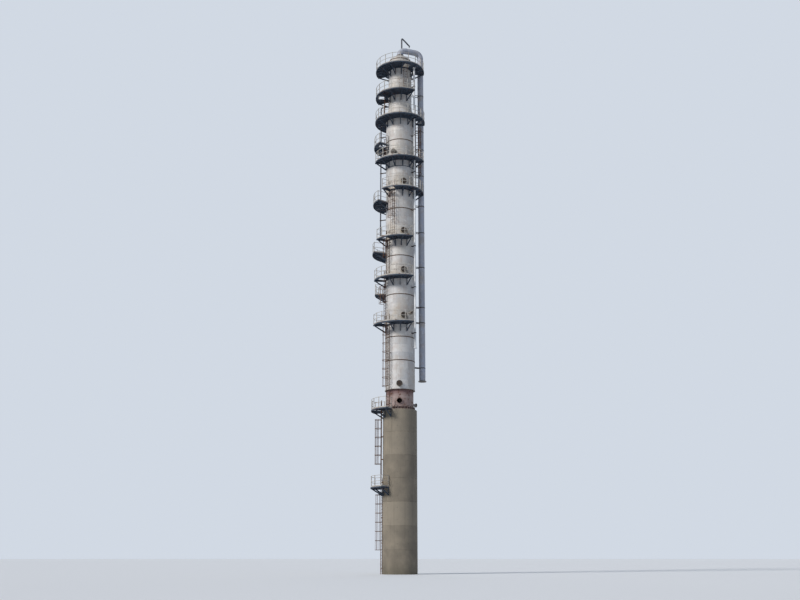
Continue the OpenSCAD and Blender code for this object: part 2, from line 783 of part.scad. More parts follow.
module flange(r, bore, bolts, pcd, hole_r, t) difference() {
    cylinder(r = r, h = t);
    translate([0, 0, -past]) cylinder(r = bore, h = t + 2 * past);
    for (i = [0 : bolts - 1]) rotate([0, 0, 360 * (i + 0.5) / bolts])
        translate([pcd / 2, 0, -past]) cylinder(r = hole_r, h = t + 2 * past, $fn = 32);
}

// Flange of a small pipe of diameter d
module small_flange(d) {
    flange(d / 2 + flange_rim, d / 2 - pipe_wall, bolt_count, d + 2 * bolt_out, bolt_r, flange_t);
}

module nozzle(n) {
    r = n[2] / 2;
    end = n[3] + lagging_t + nozzle_reach;
    difference() {
        radial(r, n[3] - shell_t - neck_in, end - flange_t / 2, n[1], n[0]);
        radial(r - pipe_wall, n[3] - cut_in, end, n[1], n[0]);
    }
    at(n[1], end - flange_t, n[0]) rotate([0, 90, 0]) small_flange(n[2]);
}

// A quarter bend of a pipe in the X-Z plane: it starts upwards at the origin and ends along +X
module bend(r_bend, r, wall) translate([r_bend, 0, 0]) rotate([90, 0, 0]) rotate([0, 0, 90])
    rotate_extrude(angle = 90) translate([r_bend, 0]) difference() {
        circle(r = r);
        circle(r = r - wall);
    }

module overhead_flange(t) {
    r = overhead_d / 2;
    circle_d = overhead_d + 2 * overhead_bolt_out;
    flange(r + overhead_rim, r - overhead_wall, overhead_bolts, circle_d, overhead_hole_r, t);
}

// Vapour line from the top head over to the right and down the column
module overhead_line() color("lightgray") {
    r = overhead_d / 2;
    b = overhead_bend;
    wall = overhead_wall;
    rise = overhead_top - b;
    foot = head_z + head_h - 2 * neck_in;
    end = overhead_end + overhead_flange_t / 2;
    rotate([0, 0, overhead_angle]) {
        tube(r, r - wall, foot, rise - foot);
        translate([0, 0, rise]) bend(b, r, wall);
        translate([b, 0, overhead_top]) rotate([0, 90, 0])
            tube(r, r - wall, 0, overhead_r - 2 * b);
        translate([overhead_r, 0, rise]) mirror([1, 0, 0]) bend(b, r, wall);
        translate([overhead_r, 0, 0]) tube(r, r - wall, end, rise - end);
        translate([0, 0, head_z + head_h + lagging_t + overhead_flange_up])
            overhead_flange(overhead_pair_t);
        translate([overhead_r, 0, overhead_end]) overhead_flange(overhead_flange_t);
    }
}

// Reflux line from the top of the upper shell down the front right
module reflux_line() color("gainsboro") {
    r = reflux_d / 2;
    b = reflux_bend;
    start = top_r - shell_t - neck_in;
    end = reflux_end + flange_t / 2;
    difference() {
        radial(r, start, reflux_r - b, reflux_angle, reflux_top);
        radial(r - pipe_wall, start - past, reflux_r, reflux_angle, reflux_top);
    }
    at(reflux_angle, reflux_r, reflux_top - b) mirror([1, 0, 0]) bend(b, r, pipe_wall);
    at(reflux_angle, reflux_r, 0) {
        tube(r, r - pipe_wall, end, reflux_top - b - end);
        translate([0, 0, reflux_end]) small_flange(reflux_d);
    }
}

// Riser on the left, from the lower shell up to the upper shell
module riser_line() color("slategray") {
    r = riser_d / 2;
    b = riser_bend;
    ends = [[riser_foot, shell_r], [riser_top, top_r]];
    for (e = ends) difference() {
        radial(r, e[1] - shell_t - neck_in, riser_r - b, riser_angle, e[0]);
        radial(r - pipe_wall, e[1] - cut_in, riser_r, riser_angle, e[0]);
    }
    at(riser_angle, riser_r, riser_top - b) mirror([1, 0, 0]) bend(b, r, pipe_wall);
    at(riser_angle, riser_r, riser_foot + b) mirror([0, 0, 1]) mirror([1, 0, 0])
        bend(b, r, pipe_wall);
    at(riser_angle, riser_r, 0)
        tube(r, r - pipe_wall, riser_foot + b, riser_top - riser_foot - 2 * b);
}

// Ring and two arms that hold a pipe beside the column
module guide(angle, pipe_at, pipe_r, z, back) at(angle, 0, z) difference() {
    union() {
        translate([pipe_at, 0, 0]) cylinder(r = pipe_r + seat + guide_t, h = guide_h);
        for (s = [-1, 1])
            translate([back - neck_in, s * pipe_r * 0.6 - arm_w / 2, (guide_h - arm_h) / 2])
                cube([pipe_at - back + neck_in - pipe_r / 2, arm_w, arm_h]);
    }
    translate([pipe_at, 0, -past]) cylinder(r = pipe_r + seat, h = guide_h + 2 * past);
    translate([0, 0, -past]) cylinder(r = back + seat, h = guide_h + 2 * past);
}

module pipe_guides() color(steel) {
    for (z = overhead_guides) guide(overhead_angle, overhead_r, overhead_d / 2, z, clad_r);
    for (z = overhead_top_guides)
        guide(overhead_angle, overhead_r, overhead_d / 2, z, clad_top_r);
    for (z = reflux_guides) guide(reflux_angle, reflux_r, reflux_d / 2, z, clad_r);
    for (z = reflux_top_guides) guide(reflux_angle, reflux_r, reflux_d / 2, z, clad_top_r);
    for (z = riser_guides) guide(riser_angle, riser_r, riser_d / 2, z, clad_r);
}

// Line from the bottom head, out through the skirt
module bottoms_line() color("gray") {
    r = bottoms_d / 2;
    b = bottoms_bend;
    top = skirt_z - bottom_head_h + 2 * neck_in;
    rotate([0, 0, bottoms_angle]) {
        tube(r, r - pipe_wall, bottoms_z + b, top - bottoms_z - b);
        translate([0, 0, bottoms_z + b]) mirror([0, 0, 1]) bend(b, r, pipe_wall);
        difference() {
            radial(r, b, bottoms_end - flange_t / 2, 0, bottoms_z);
            radial(r - pipe_wall, b - past, bottoms_end, 0, bottoms_z);
        }
        translate([bottoms_end - flange_t, 0, bottoms_z]) rotate([0, 90, 0])
            small_flange(bottoms_d);
    }
}

// Foot cup and two guide rings for the davit's mast, on plates from the upper shell
module davit_socket() color(steel) {
    hole = mast_r + mast_gap;
    r = hole + socket_t;
    at(davit_angle, davit_at, davit_foot - cup_floor) {
        cylinder(r = r, h = cup_floor - seat);
        tube(r, hole, 0, cup_floor + socket_h + davit_guide_low / 2);
    }
    for (z = guide_z) at(davit_angle, davit_at, z) tube(r, hole, 0, socket_h);
    for (z = [davit_foot - cup_floor + edge_in, guide_z[1] + neck_in])
        at(davit_angle, clad_top_r + seat, z) translate([0, -plate_w / 2, 0])
            cube([davit_off - hole - socket_t / 2, plate_w, plate_t]);
}

// Mast and arm of the davit
module davit_mast() color("darkslategray") at(davit_angle, davit_at, davit_foot) {
    b = davit_bend;
    h = deck_12_z + davit_h - davit_foot;
    rotate([0, 0, davit_turn - davit_angle]) {
        cylinder(r = mast_r, h = h - b);
        translate([b, 0, h - b]) rotate([90, 0, 0]) rotate([0, 0, 90])
            rotate_extrude(angle = 90) translate([b, 0]) circle(r = mast_r);
        translate([b, 0, h]) rotate([0, 90, 0]) cylinder(r = mast_r, h = davit_reach - b);
        translate([davit_reach - eye_w, -plate_t / 2, h - eye_drop])
            cube([eye_w - edge_in, plate_t, eye_h]);
    }
}

pedestal();
base_ring();
skirt();
bottom_head();
shell_lower();
shell_cone();
shell_upper();
top_head();
jacket_lower();
jacket_middle();
jacket_upper();
for (i = [0 : 11])
    color("darkslategray") platform(decks[i]);
color("darkslategray") for (d = landing_decks) platform(d);  // landings
color("silver") for (d = landing_decks) rails(d);  // rails_pedestal
color("silver") for (i = [0 : 3]) rails(decks[i]);  // rails_lower
color("silver") for (i = [4 : 7]) rails(decks[i]);  // rails_middle
color("silver") for (i = [8 : 11]) rails(decks[i]);  // rails_upper
color("peru") for (l = pedestal_ladders) ladder(l);  // ladders_pedestal
color("peru") for (l = lower_ladders) ladder(l);  // ladders_lower
color("peru") for (l = upper_ladders) ladder(l);  // ladders_upper
color("peru") for (l = pedestal_ladders) cage(l);  // cages_pedestal
color("peru") for (l = lower_ladders) cage(l);  // cages_lower
color("peru") for (l = upper_ladders) cage(l);  // cages_upper
color("dimgray") for (m = manways) manway_neck(m);  // manway_necks
color("saddlebrown") for (m = manways) manway_cover(m);  // manway_covers
color("dimgray") for (n = nozzle_list) nozzle(n);  // nozzles
overhead_line();
reflux_line();
riser_line();
pipe_guides();
bottoms_line();
davit_socket();
davit_mast();
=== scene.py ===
"""Distillation column at half size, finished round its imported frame.

All sizes are in metres. Z is the column's axis, the ground is at 0 and -Y is the front.
"""
import math
from collections import namedtuple

import bpy
import numpy as np
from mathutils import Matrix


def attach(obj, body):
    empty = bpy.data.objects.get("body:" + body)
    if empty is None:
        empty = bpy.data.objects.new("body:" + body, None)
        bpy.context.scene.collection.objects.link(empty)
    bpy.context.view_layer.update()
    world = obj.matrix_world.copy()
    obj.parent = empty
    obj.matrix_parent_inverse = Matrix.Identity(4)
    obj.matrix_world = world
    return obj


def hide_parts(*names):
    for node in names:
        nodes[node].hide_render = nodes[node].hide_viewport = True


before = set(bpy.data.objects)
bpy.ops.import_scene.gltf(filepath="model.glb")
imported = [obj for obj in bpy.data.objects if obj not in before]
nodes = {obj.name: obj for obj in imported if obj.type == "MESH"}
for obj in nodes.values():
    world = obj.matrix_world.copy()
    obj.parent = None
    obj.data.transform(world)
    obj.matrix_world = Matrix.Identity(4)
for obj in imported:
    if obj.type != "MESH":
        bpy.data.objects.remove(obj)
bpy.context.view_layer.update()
chance = np.random.default_rng(41)


# Pedestal: a tall hollow base of cast concrete, poured in lifts against curved boards.
# The joints between the lifts stay as shallow V grooves, and a doorway at the back leads in.

pedestal_radius, pedestal_height, pedestal_wall = 0.875, 8.1, 0.2
slab_depth, door_half, door_top = 0.25, 0.225, 1.25
door_cols, wall_cols, lift_count = 6, 112, 7
lift_joints = pedestal_height * np.arange(1, lift_count) / lift_count
groove_depth, groove_half, top_chamfer = 0.010, 0.014, 0.012
board_count, board_width, hole_rise = 10, 0.55, 0.5786


def grid(rows, cols, round_rows=False, round_cols=True):
    """Quads of a grid of points: each joins (i, j), (i, j + 1), (i + 1, j + 1), (i + 1, j),
    and the last row or column goes back to the first where the grid is closed that way."""
    i, j = np.meshgrid(np.arange(rows if round_rows else rows - 1),
                       np.arange(cols if round_cols else cols - 1), indexing="ij")
    up, on = (i + 1) % rows, (j + 1) % cols
    quads = np.stack([i * cols + j, i * cols + on, up * cols + on, up * cols + j], -1)
    return quads.reshape(-1, 4)


def polar(radius, angle, z):
    """Points from distance to the axis, angle and height, each a number or an array."""
    radius, angle, z = np.broadcast_arrays(radius, angle, z)
    return np.stack([radius * np.cos(angle), radius * np.sin(angle), z], -1)


def make_piece(name, shape, finish, body="column", crease=30, tone=None):
    """Puts a shape, which is an array of points and arrays of face corners, one for each
    number of corners, into a mesh, shades it smooth up to the crease angle and rides it on
    its body. The tone, one number for each face, is an attribute that the finish can read."""
    points, faces = shape
    mesh = bpy.data.meshes.new(name)
    mesh.from_pydata(points.reshape(-1, 3), [], sum([group.tolist() for group in faces], []))
    mesh.shade_smooth()
    mesh.set_sharp_from_angle(angle=math.radians(crease))
    if tone is not None:
        mesh.attributes.new("tone", "FLOAT", "FACE").data.foreach_set(
            "value", np.asarray(tone, np.float32))
    mesh.materials.append(finish)
    piece = bpy.data.objects.new(name, mesh)
    bpy.context.scene.collection.objects.link(piece)
    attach(piece, body)
    return piece


def swatch(red, green, blue):
    """A shader colour from a paint swatch in 0 to 255. Each part, as a share s of 255,
    becomes ((s + 0.055) / 1.055) to the power 2.4, or s / 12.92 below 0.04045."""
    parts = np.array([red, green, blue]) / 255
    linear = np.where(parts < 0.04045, parts / 12.92, ((parts + 0.055) / 1.055) ** 2.4)
    return (*linear.tolist(), 1.0)


class Wire:
    """What comes out of a shader node. A sign between a wire and a wire or number adds a
    Math node, and gives that node's wire."""

    def __init__(self, node, output=0):
        self.socket, self.tree = node.outputs[output], node.id_data

    def math(self, operation, other=0.5):
        return put(self.tree, "Math", {0: self, 1: other}, operation=operation)

    def __mul__(self, other):
        return self.math("MULTIPLY", other)

    def __add__(self, other):
        return self.math("ADD", other)

    def __sub__(self, other):
        return self.math("SUBTRACT", other)

    def __rsub__(self, other):
        return put(self.tree, "Math", {0: other, 1: self}, operation="SUBTRACT")

    def beside(self, output):
        """The wire from another output of the same node."""
        return Wire(self.socket.node, output)


def feed(node, values):
    """Gives a node's inputs plain values or wires."""
    for key, value in values.items():
        if isinstance(value, Wire):
            value.tree.links.new(value.socket, node.inputs[key])
        else:
            node.inputs[key].default_value = value


def put(tree, kind, values, output=0, **settings):
    """Adds a shader node, sets it up, feeds it, and gives the wire from one of its outputs."""
    added = tree.nodes.new("ShaderNode" + kind)
    for key, value in settings.items():
        setattr(added, key, value)
    feed(added, values)
    return Wire(added, output)


def spread(value, low, high, to_low=0.0, to_high=1.0):
    """Maps a value from low..high to a new range, held at its ends."""
    return put(value.tree, "MapRange", {"Value": value, "From Min": low, "From Max": high,
                                        "To Min": to_low, "To Max": to_high})


def tint(share, first, second):
    """Mixes two colours, each a wire or a paint swatch, by a share of 0 to 1."""
    first, second = [swatch(*side) if isinstance(side, tuple) else side
                     for side in (first, second)]
    return put(share.tree, "Mix", {0: share, 6: first, 7: second}, 2, data_type="RGBA")


def cloud(place, scale, detail=4.0, roughness=0.55):
    """Smooth random values round 0.5 over a place vector."""
    return put(place.tree, "TexNoise", {"Vector": place, "Scale": scale, "Detail": detail,
                                        "Roughness": roughness}, "Fac")


def split(vector):
    """The X, Y and Z of a vector."""
    x = put(vector.tree, "SeparateXYZ", {0: vector})
    return x, x.beside(1), x.beside(2)


def group_of(name, inputs, outputs):
    """A new shader node group: its tree, its output node, the place and its inputs."""
    tree = bpy.data.node_groups.new(name, "ShaderNodeTree")
    for way, labels in (("INPUT", inputs), ("OUTPUT", outputs)):
        for label in labels:
            tree.interface.new_socket(label, in_out=way, socket_type="NodeSocketFloat")
    entry, leave = tree.nodes.new("NodeGroupInput"), tree.nodes.new("NodeGroupOutput")
    place = put(tree, "TexCoord", {}, "Object")
    return tree, leave, place, *[Wire(entry, label) for label in inputs]


def use(place, group, **values):
    """Puts a node group beside a place vector with its own values: its first output."""
    return put(place.tree, "Group", values, node_tree=group)


# Rain runs: streaks that are long up and down and narrow round the column
rain_runs, leave, place, narrow, long, cover, soft = group_of(
    "rain_runs", ["Narrow", "Long", "Cover", "Soft"], ["Mask"])
stretch = put(rain_runs, "CombineXYZ", {0: narrow, 1: narrow, 2: long})
run_place = put(rain_runs, "VectorMath", {0: place, 1: stretch}, operation="MULTIPLY")
starts = 0.85 - cover * 0.6
feed(leave, {"Mask": spread(cloud(run_place, 1.0, 5.0, 0.6), starts, starts + soft)})

# Blooms: ragged patches, such as rust through paint, with a finer height for the bump
blooms, leave, place, scale, cover, soft = group_of(
    "blooms", ["Scale", "Cover", "Soft"], ["Mask", "Height"])
starts = 0.8 - cover * 0.6
mask = spread(cloud(place, scale, 8.0, 0.68), starts, starts + soft)
feed(leave, {"Mask": mask, "Height": mask * cloud(place, scale * 9.0, 3.0)})


def new_finish(name):
    """A material, its Principled shader and the object's place vector."""
    made = bpy.data.materials.new(name)
    made.use_nodes = True
    tree = made.node_tree
    return made, tree.nodes["Principled BSDF"], put(tree, "TexCoord", {}, "Object")


def bumped(height, depth, strength=1.0):
    """The normal of a face that rises by a height times a depth in metres."""
    return put(height.tree, "Bump", {"Height": height, "Distance": depth,
                                     "Strength": strength})


def cast_concrete(name):
    """Warm grey concrete: each lift has its tone, rain darkens it in runs, boards leave
    upright joints, tie holes stand in rows, and pores roughen the face."""
    made, shader, place = new_finish(name)
    x, y, z = split(place)
    lift = put(place.tree, "Attribute", {}, "Fac", attribute_name="tone")
    base = tint(lift, (134, 126, 113), (112, 105, 94))
    stain = cloud(place, 1.3, 6.0, 0.6)
    base = tint(spread(stain, 0.42, 0.68, 0.0, 0.5), base, (148, 138, 122))
    runs = use(place, rain_runs, Narrow=7.0, Long=0.35, Cover=0.46, Soft=0.25)
    base = tint(runs * 0.55, base, (90, 84, 74))
    rust = use(place, rain_runs, Narrow=9.0, Long=0.28, Cover=0.26, Soft=0.12)
    base = tint(rust * (spread(z, 5.2, pedestal_height) * 0.6), base, (134, 98, 72))
    base = tint(spread(z + stain * 0.8, 1.1, 0.35) * 0.5, base, (82, 80, 68))
    board = (y.math("ARCTAN2", x) * (board_count / math.tau)).math("FRACT")
    joint = spread((board - 0.5).math("ABSOLUTE"), 0.494, 0.4985)
    up = (z.math("DIVIDE", hole_rise).math("FRACT") - 0.5) * hole_rise
    side = (board - 0.25) * board_width
    hole = spread((up * up + side * side).math("SQRT"), 0.014, 0.009)
    base = tint(hole * 0.8, base, (58, 56, 50))
    base = tint(joint * 0.35, base, (90, 89, 80))
    grain = cloud(place, 90.0, 5.0, 0.7)
    pores = spread(cloud(place, 60.0, 2.0, 0.4), 0.3, 0.36)
    height = grain * 0.35 + pores - hole * 5.0 + joint * 1.5 + stain * 1.5
    feed(shader, {"Base Color": base, "Roughness": spread(grain, 0.3, 0.7, 0.78, 0.95),
                  "Specular IOR Level": 0.25, "Normal": bumped(height, 0.0018)})
    return made


def cast_pedestal():
    """Outer wall: radius less a V groove at each lift joint, over all angles and heights.
    Inner wall: a plain radius. The doorway's columns share their x on both walls, so its
    sides are flat. Quads inside the doorway are left out and joined by sides, sill and head."""
    inner_radius, slab_top = pedestal_radius - pedestal_wall, pedestal_height - slab_depth
    z = np.unique(np.round(np.concatenate([
        [0, slab_depth, door_top, slab_top, pedestal_height - top_chamfer, pedestal_height],
        lift_joints, lift_joints - groove_half, lift_joints + groove_half]), 6))
    near = np.abs(z[:, None] - lift_joints).min(1)
    wall = pedestal_radius - groove_depth * np.clip(1 - near / groove_half, 0, 1)
    wall[-1] -= top_chamfer
    door_x = np.linspace(door_half, -door_half, door_cols + 1)

    def columns(radius):
        door = np.arctan2(np.sqrt(radius ** 2 - door_x ** 2), door_x)
        others = np.linspace(door[-1], door[0] + math.tau, wall_cols + 2)[1:-1]
        return np.concatenate([door, others])

    outer = polar(wall[:, None], columns(pedestal_radius), z[:, None])
    inside = (z >= slab_depth) & (z <= slab_top)
    inner = polar(inner_radius, columns(inner_radius), z[inside][:, None])
    points = np.concatenate([outer.reshape(-1, 3), inner.reshape(-1, 3)])
    cols, first, below = outer.shape[1], outer.size // 3, np.flatnonzero(inside)[0]
    door = np.flatnonzero((z >= slab_depth) & (z <= door_top))

    def solid(wall, skipped):
        kept = np.ones((len(wall) - 1, cols), bool)
        kept[door[0] - skipped:door[-1] - skipped, :door_cols] = False
        return grid(len(wall), cols)[kept.ravel()]

    # A point on the inner wall has the number of its neighbour on the outer wall plus this
    shift = first - below * cols
    up, on = door[:-1, None] * cols, np.arange(door_cols)[:, None]
    quads = np.concatenate([
        solid(outer, 0), solid(inner, below)[:, ::-1] + first,
        up + [0, shift, shift + cols, cols],
        up + door_cols + [0, cols, shift + cols, shift],
        on + door[0] * cols + [0, 1, shift + 1, shift],
        on + door[-1] * cols + [0, shift, shift + 1, 1]])
    ring = np.arange(cols)
    caps = np.stack([ring[::-1], first - cols + ring, first + ring,
                     (len(points) - cols + ring)[::-1]])
    lift = np.searchsorted(lift_joints, points[quads[:, 0], 2] + 1e-6)
    tone = np.concatenate([chance.random(lift_count)[lift], np.full(len(caps), 0.5)])
    return (points, [quads, caps]), tone


shape, tone = cast_pedestal()
pedestal = make_piece("cast_pedestal", shape, cast_concrete("cast_concrete"),
                      crease=22, tone=tone)
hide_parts("pedestal")


# Base ring and skirt: rolled steel plate welded to a flat ring on the pedestal. Anchor bolts
# cast into the concrete come up through chairs on the ring, each with a washer and two nuts.

skirt_radius, skirt_top, seam_bead = 0.7, 9.125, 0.0045
bead_sides, bead_swell = 6, 0.22
chair_top, bolt_circle, bolt_count = pedestal_height + 0.15, 0.747, 16


def worn_coat(name, coat, shade, rust, cover, scale=5.0, dark_above=None):
    """Painted steel: a coat that fades in patches, rust that blooms through it and runs
    down, and a roughness and height that follow the rust. Above a given height it darkens."""
    made, shader, place = new_finish(name)
    patch = cloud(place, scale * 0.3, 5.0, 0.6)
    base = tint(spread(patch, 0.38, 0.64), coat, shade)
    if dark_above is not None:
        up = split(place)[2] + patch * 0.16
        base = tint(spread(up, dark_above, dark_above + 0.24, 0.0, 0.85), base, (96, 66, 66))
    bloom = use(place, blooms, Scale=scale, Cover=cover, Soft=0.09)
    runs = use(place, rain_runs, Narrow=scale * 3.5, Long=0.8, Cover=cover, Soft=0.2)
    grain = cloud(place, scale * 14, 4.0, 0.7)
    rust_tone = tint(grain, rust, tuple(part * 0.55 for part in rust))
    base = tint(bloom, tint(runs * 0.45, base, rust_tone), rust_tone)
    feed(shader, {"Base Color": base, "Specular IOR Level": 0.35,
                  "Roughness": spread(bloom + grain * 0.4, 0.1, 1.1, 0.5, 0.85),
                  "Normal": bumped(bloom.beside("Height") + grain * 0.25, 0.001)})
    return made


def coat(finish, *names):
    """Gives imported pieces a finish."""
    for name in names:
        nodes[name].data.materials.clear()
        nodes[name].data.materials.append(finish)


skirt_primer = worn_coat("skirt_primer", (152, 135, 130), (128, 108, 103), (112, 76, 58), 0.42,
                         dark_above=8.84)
coat(skirt_primer, "base_ring", "skirt")


def circle(count, start=0.0):
    """Angles evenly spread round a circle. The first one is a share of a step from 0."""
    return math.tau * (np.arange(count) + start) / count


def tube(rows, sides):
    """Faces of a tube of rings of points, with a flat cap at each end."""
    ring = np.arange(sides)
    return [grid(rows, sides), np.stack([ring[::-1], (rows - 1) * sides + ring])]


def turned(profile, sides, closed=False):
    """A profile of radius and height, bottom to top, carried round the Z axis. An open one
    is closed by a flat cap at each end, and a closed one comes back to its start."""
    profile = np.asarray(profile, float)
    rows = len(profile)
    return (polar(profile[:, :1], circle(sides), profile[:, 1:]),
            [grid(rows, sides, round_rows=True)] if closed else tube(rows, sides))


def joined(shapes):
    """Shapes put together: their points end to end, with each one's corners moved on."""
    points, faces, first = [], [], 0
    for shape_points, groups in shapes:
        points.append(shape_points.reshape(-1, 3))
        faces += [group + first for group in groups]
        first += len(points[-1])
    return np.concatenate(points), faces


def copies(shape, origins, turns=np.eye(3)[None]):
    """A shape at many places: each point is turned by the place's three axes, and moved."""
    points, groups = shape[0].reshape(-1, 3), shape[1]
    step = (np.arange(len(origins)) * len(points))[:, None, None]
    return (origins[:, None] + np.einsum("nij,pj->npi", turns, points),
            [(group + step).reshape(-1, group.shape[1]) for group in groups])


def upright(angle):
    """Axes at angles round the column: X outwards, Y along the circle, Z up."""
    angle = np.atleast_1d(angle)
    along = np.stack([-np.sin(angle), np.cos(angle), 0 * angle], -1)
    return np.stack([polar(1.0, angle, 0.0), along, polar(0.0, angle, 1.0)], -1)


def outward(angle):
    """Axes at angles round the column: X along the circle, Y up, Z outwards."""
    return upright(angle)[:, :, [1, 2, 0]]


def hex_nut(size, height, low=0.0):
    """A six-sided nut: its corner circle grows over a chamfer at both ends."""
    return turned([(size * 0.84, low), (size, low + height * 0.14),
                   (size, low + height * 0.86), (size * 0.84, low + height)], 6)


def stud(radius, low, high, turns):
    """A threaded rod: its radius steps out and in once for each turn of thread."""
    z = np.linspace(low, high, turns * 2 + 1)
    return turned(np.stack([radius * (1 - 0.09 * (np.arange(len(z)) % 2)), z], -1), 10)


washer = [(0.0130, 0.0), (0.0285, 0.0), (0.0285, 0.004), (0.0130, 0.004)]
anchor = joined([stud(0.0125, -0.045, 0.062, 16), hex_nut(0.0225, 0.020, 0.004),
                 hex_nut(0.0225, 0.012, 0.025), turned(washer, 20, closed=True)])
bolt_steel = worn_coat("bolt_steel", (96, 88, 80), (70, 62, 56), (92, 58, 38), 0.5, 22.0)
angle = circle(bolt_count, 0.5)
make_piece("anchor_bolts", copies(anchor, polar(bolt_circle, angle, chair_top), upright(angle)),
           bolt_steel)


def weld_bead(z, radius, ripples):
    """A welded seam round the skirt: a thin torus whose bead swells once for each ripple."""
    angle, bead = circle(ripples * 3), circle(bead_sides)[:, None]
    swell = radius * (1 + bead_swell * np.cos(ripples * angle))
    return (polar(skirt_radius + swell * np.cos(bead), angle, z + swell * np.sin(bead)),
            [grid(bead_sides, len(angle), round_rows=True)])


def upright_bead(degree, low, high, ripples):
    """A welded seam up the skirt: a half-sunk rod whose bead swells once for each ripple."""
    z, bead = np.linspace(low, high, ripples * 3)[:, None], circle(bead_sides)
    ripple = np.cos(ripples * math.tau * (z - low) / (high - low))
    swell = seam_bead * (1 + bead_swell * ripple)
    return (polar(skirt_radius + swell * np.cos(bead),
                  math.radians(degree) + swell * np.sin(bead) / skirt_radius, z),
            [group[:, ::-1] for group in tube(len(z), bead_sides)])


course_seam = pedestal_height + 0.72
seams = [weld_bead(pedestal_height + 0.033, 0.007, 260), weld_bead(course_seam, seam_bead, 300)]
seams += [upright_bead(degree, pedestal_height + 0.04, course_seam, 44)
          for degree in (12, 132, 252)]
seams += [upright_bead(degree, course_seam, skirt_top - 0.01, 26) for degree in (72, 192, 312)]
make_piece("skirt_welds", joined(seams), skirt_primer, crease=60)


# Shell: the pressure vessel itself, rolled and welded from plate, with pressed heads. Primed,
# and out of sight under its jacket save where the skirt's openings show the bottom head.

coat(worn_coat("shell_primer", (96, 76, 68), (80, 66, 62), (88, 52, 34), 0.4),
     "bottom_head", "shell_lower", "shell_cone", "shell_upper", "top_head")


# Jacket: mineral wool held by thin metal sheets. Each course laps over the one below with a
# swaged bead near its foot, each sheet laps over the next with a row of screws, and a strap
# runs round the middle of every course. Dark rings close the jacket where its sections end.

jacket_radius, jacket_top_radius, wool_depth = 0.7735, 0.6485, 0.074
section_gap, last_step = 0.003, 0.0004
course_height, sheet_count, lap_height, ring_screws = 0.48, 6, 0.0022, 34
sheet_edge, sheet_bulge, screw_rise, screw_aside = 0.0009, 0.0045, 0.006, 0.012
ring_screw_proud, lap_screw_proud = 0.0040, 0.0030
section_ends = [9.135, 10.65, 11.9, 14.2, 16.35, 19.05, 23.1, 24.75]
cone_foot, cone_head, head_foot = section_ends[-1], 25.25, 28.2
packed_radius, packed_top_radius = 0.775, 0.65
plate_depth, front_degree = 0.02, 300


def wall_at(z):
    """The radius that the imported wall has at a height: pedestal, jacket or its slim top."""
    jacket = packed_radius if z < cone_foot else packed_top_radius
    return pedestal_radius if z < pedestal_height else jacket


# Each deck: height of its top, radius of its rim, angles of its ends, and the wall's radius.
# The last two are the landings on the pedestal.
Deck = namedtuple("Deck", "z reach start end wall")
decks = [Deck(*deck, wall_at(deck[0] - plate_depth)) for deck in (
    (12.6, 1.45, 192, 300), (14.35, 1.35, 135, 183), (15.1, 1.4, 185, 301),
    (16.6, 1.5, 130, 201), (17.3, 1.4, 204, 301), (19.45, 1.48, 131, 216),
    (20.15, 1.3, 220, 368), (21.9, 1.4, 188, 342), (22.85, 1.45, 145, 219),
    (24.425, 1.4, 50, 369), (25.95, 1.38, 152, 308), (27.6, 1.38, 154, 369),
    (4.2, 1.5, 150, 232), (8.112, 1.5, 150, 242))]

# Deck grime: two masks by height, round each deck that reaches the front. One thins out over
# the sheet above the deck, and one fades over the sheet below it, where brackets drip.
deck_grime, leave, place = group_of("deck_grime", [], ["Above", "Below"])
height = split(place)[2]
above, below, grime_up, drip_down = 0.0, 0.0, 1.1, 1.4
for z in [deck.z for deck in decks if deck.end >= front_degree]:
    foot = height.math("GREATER_THAN", z - plate_depth)
    foot = foot * spread(height, z, z + grime_up, 1.0, 0.0)
    drip = height.math("LESS_THAN", z) * spread(height, z - drip_down, z - 0.1)
    above, below = foot.math("MAXIMUM", above), drip.math("MAXIMUM", below)
feed(leave, {"Above": above, "Below": below})


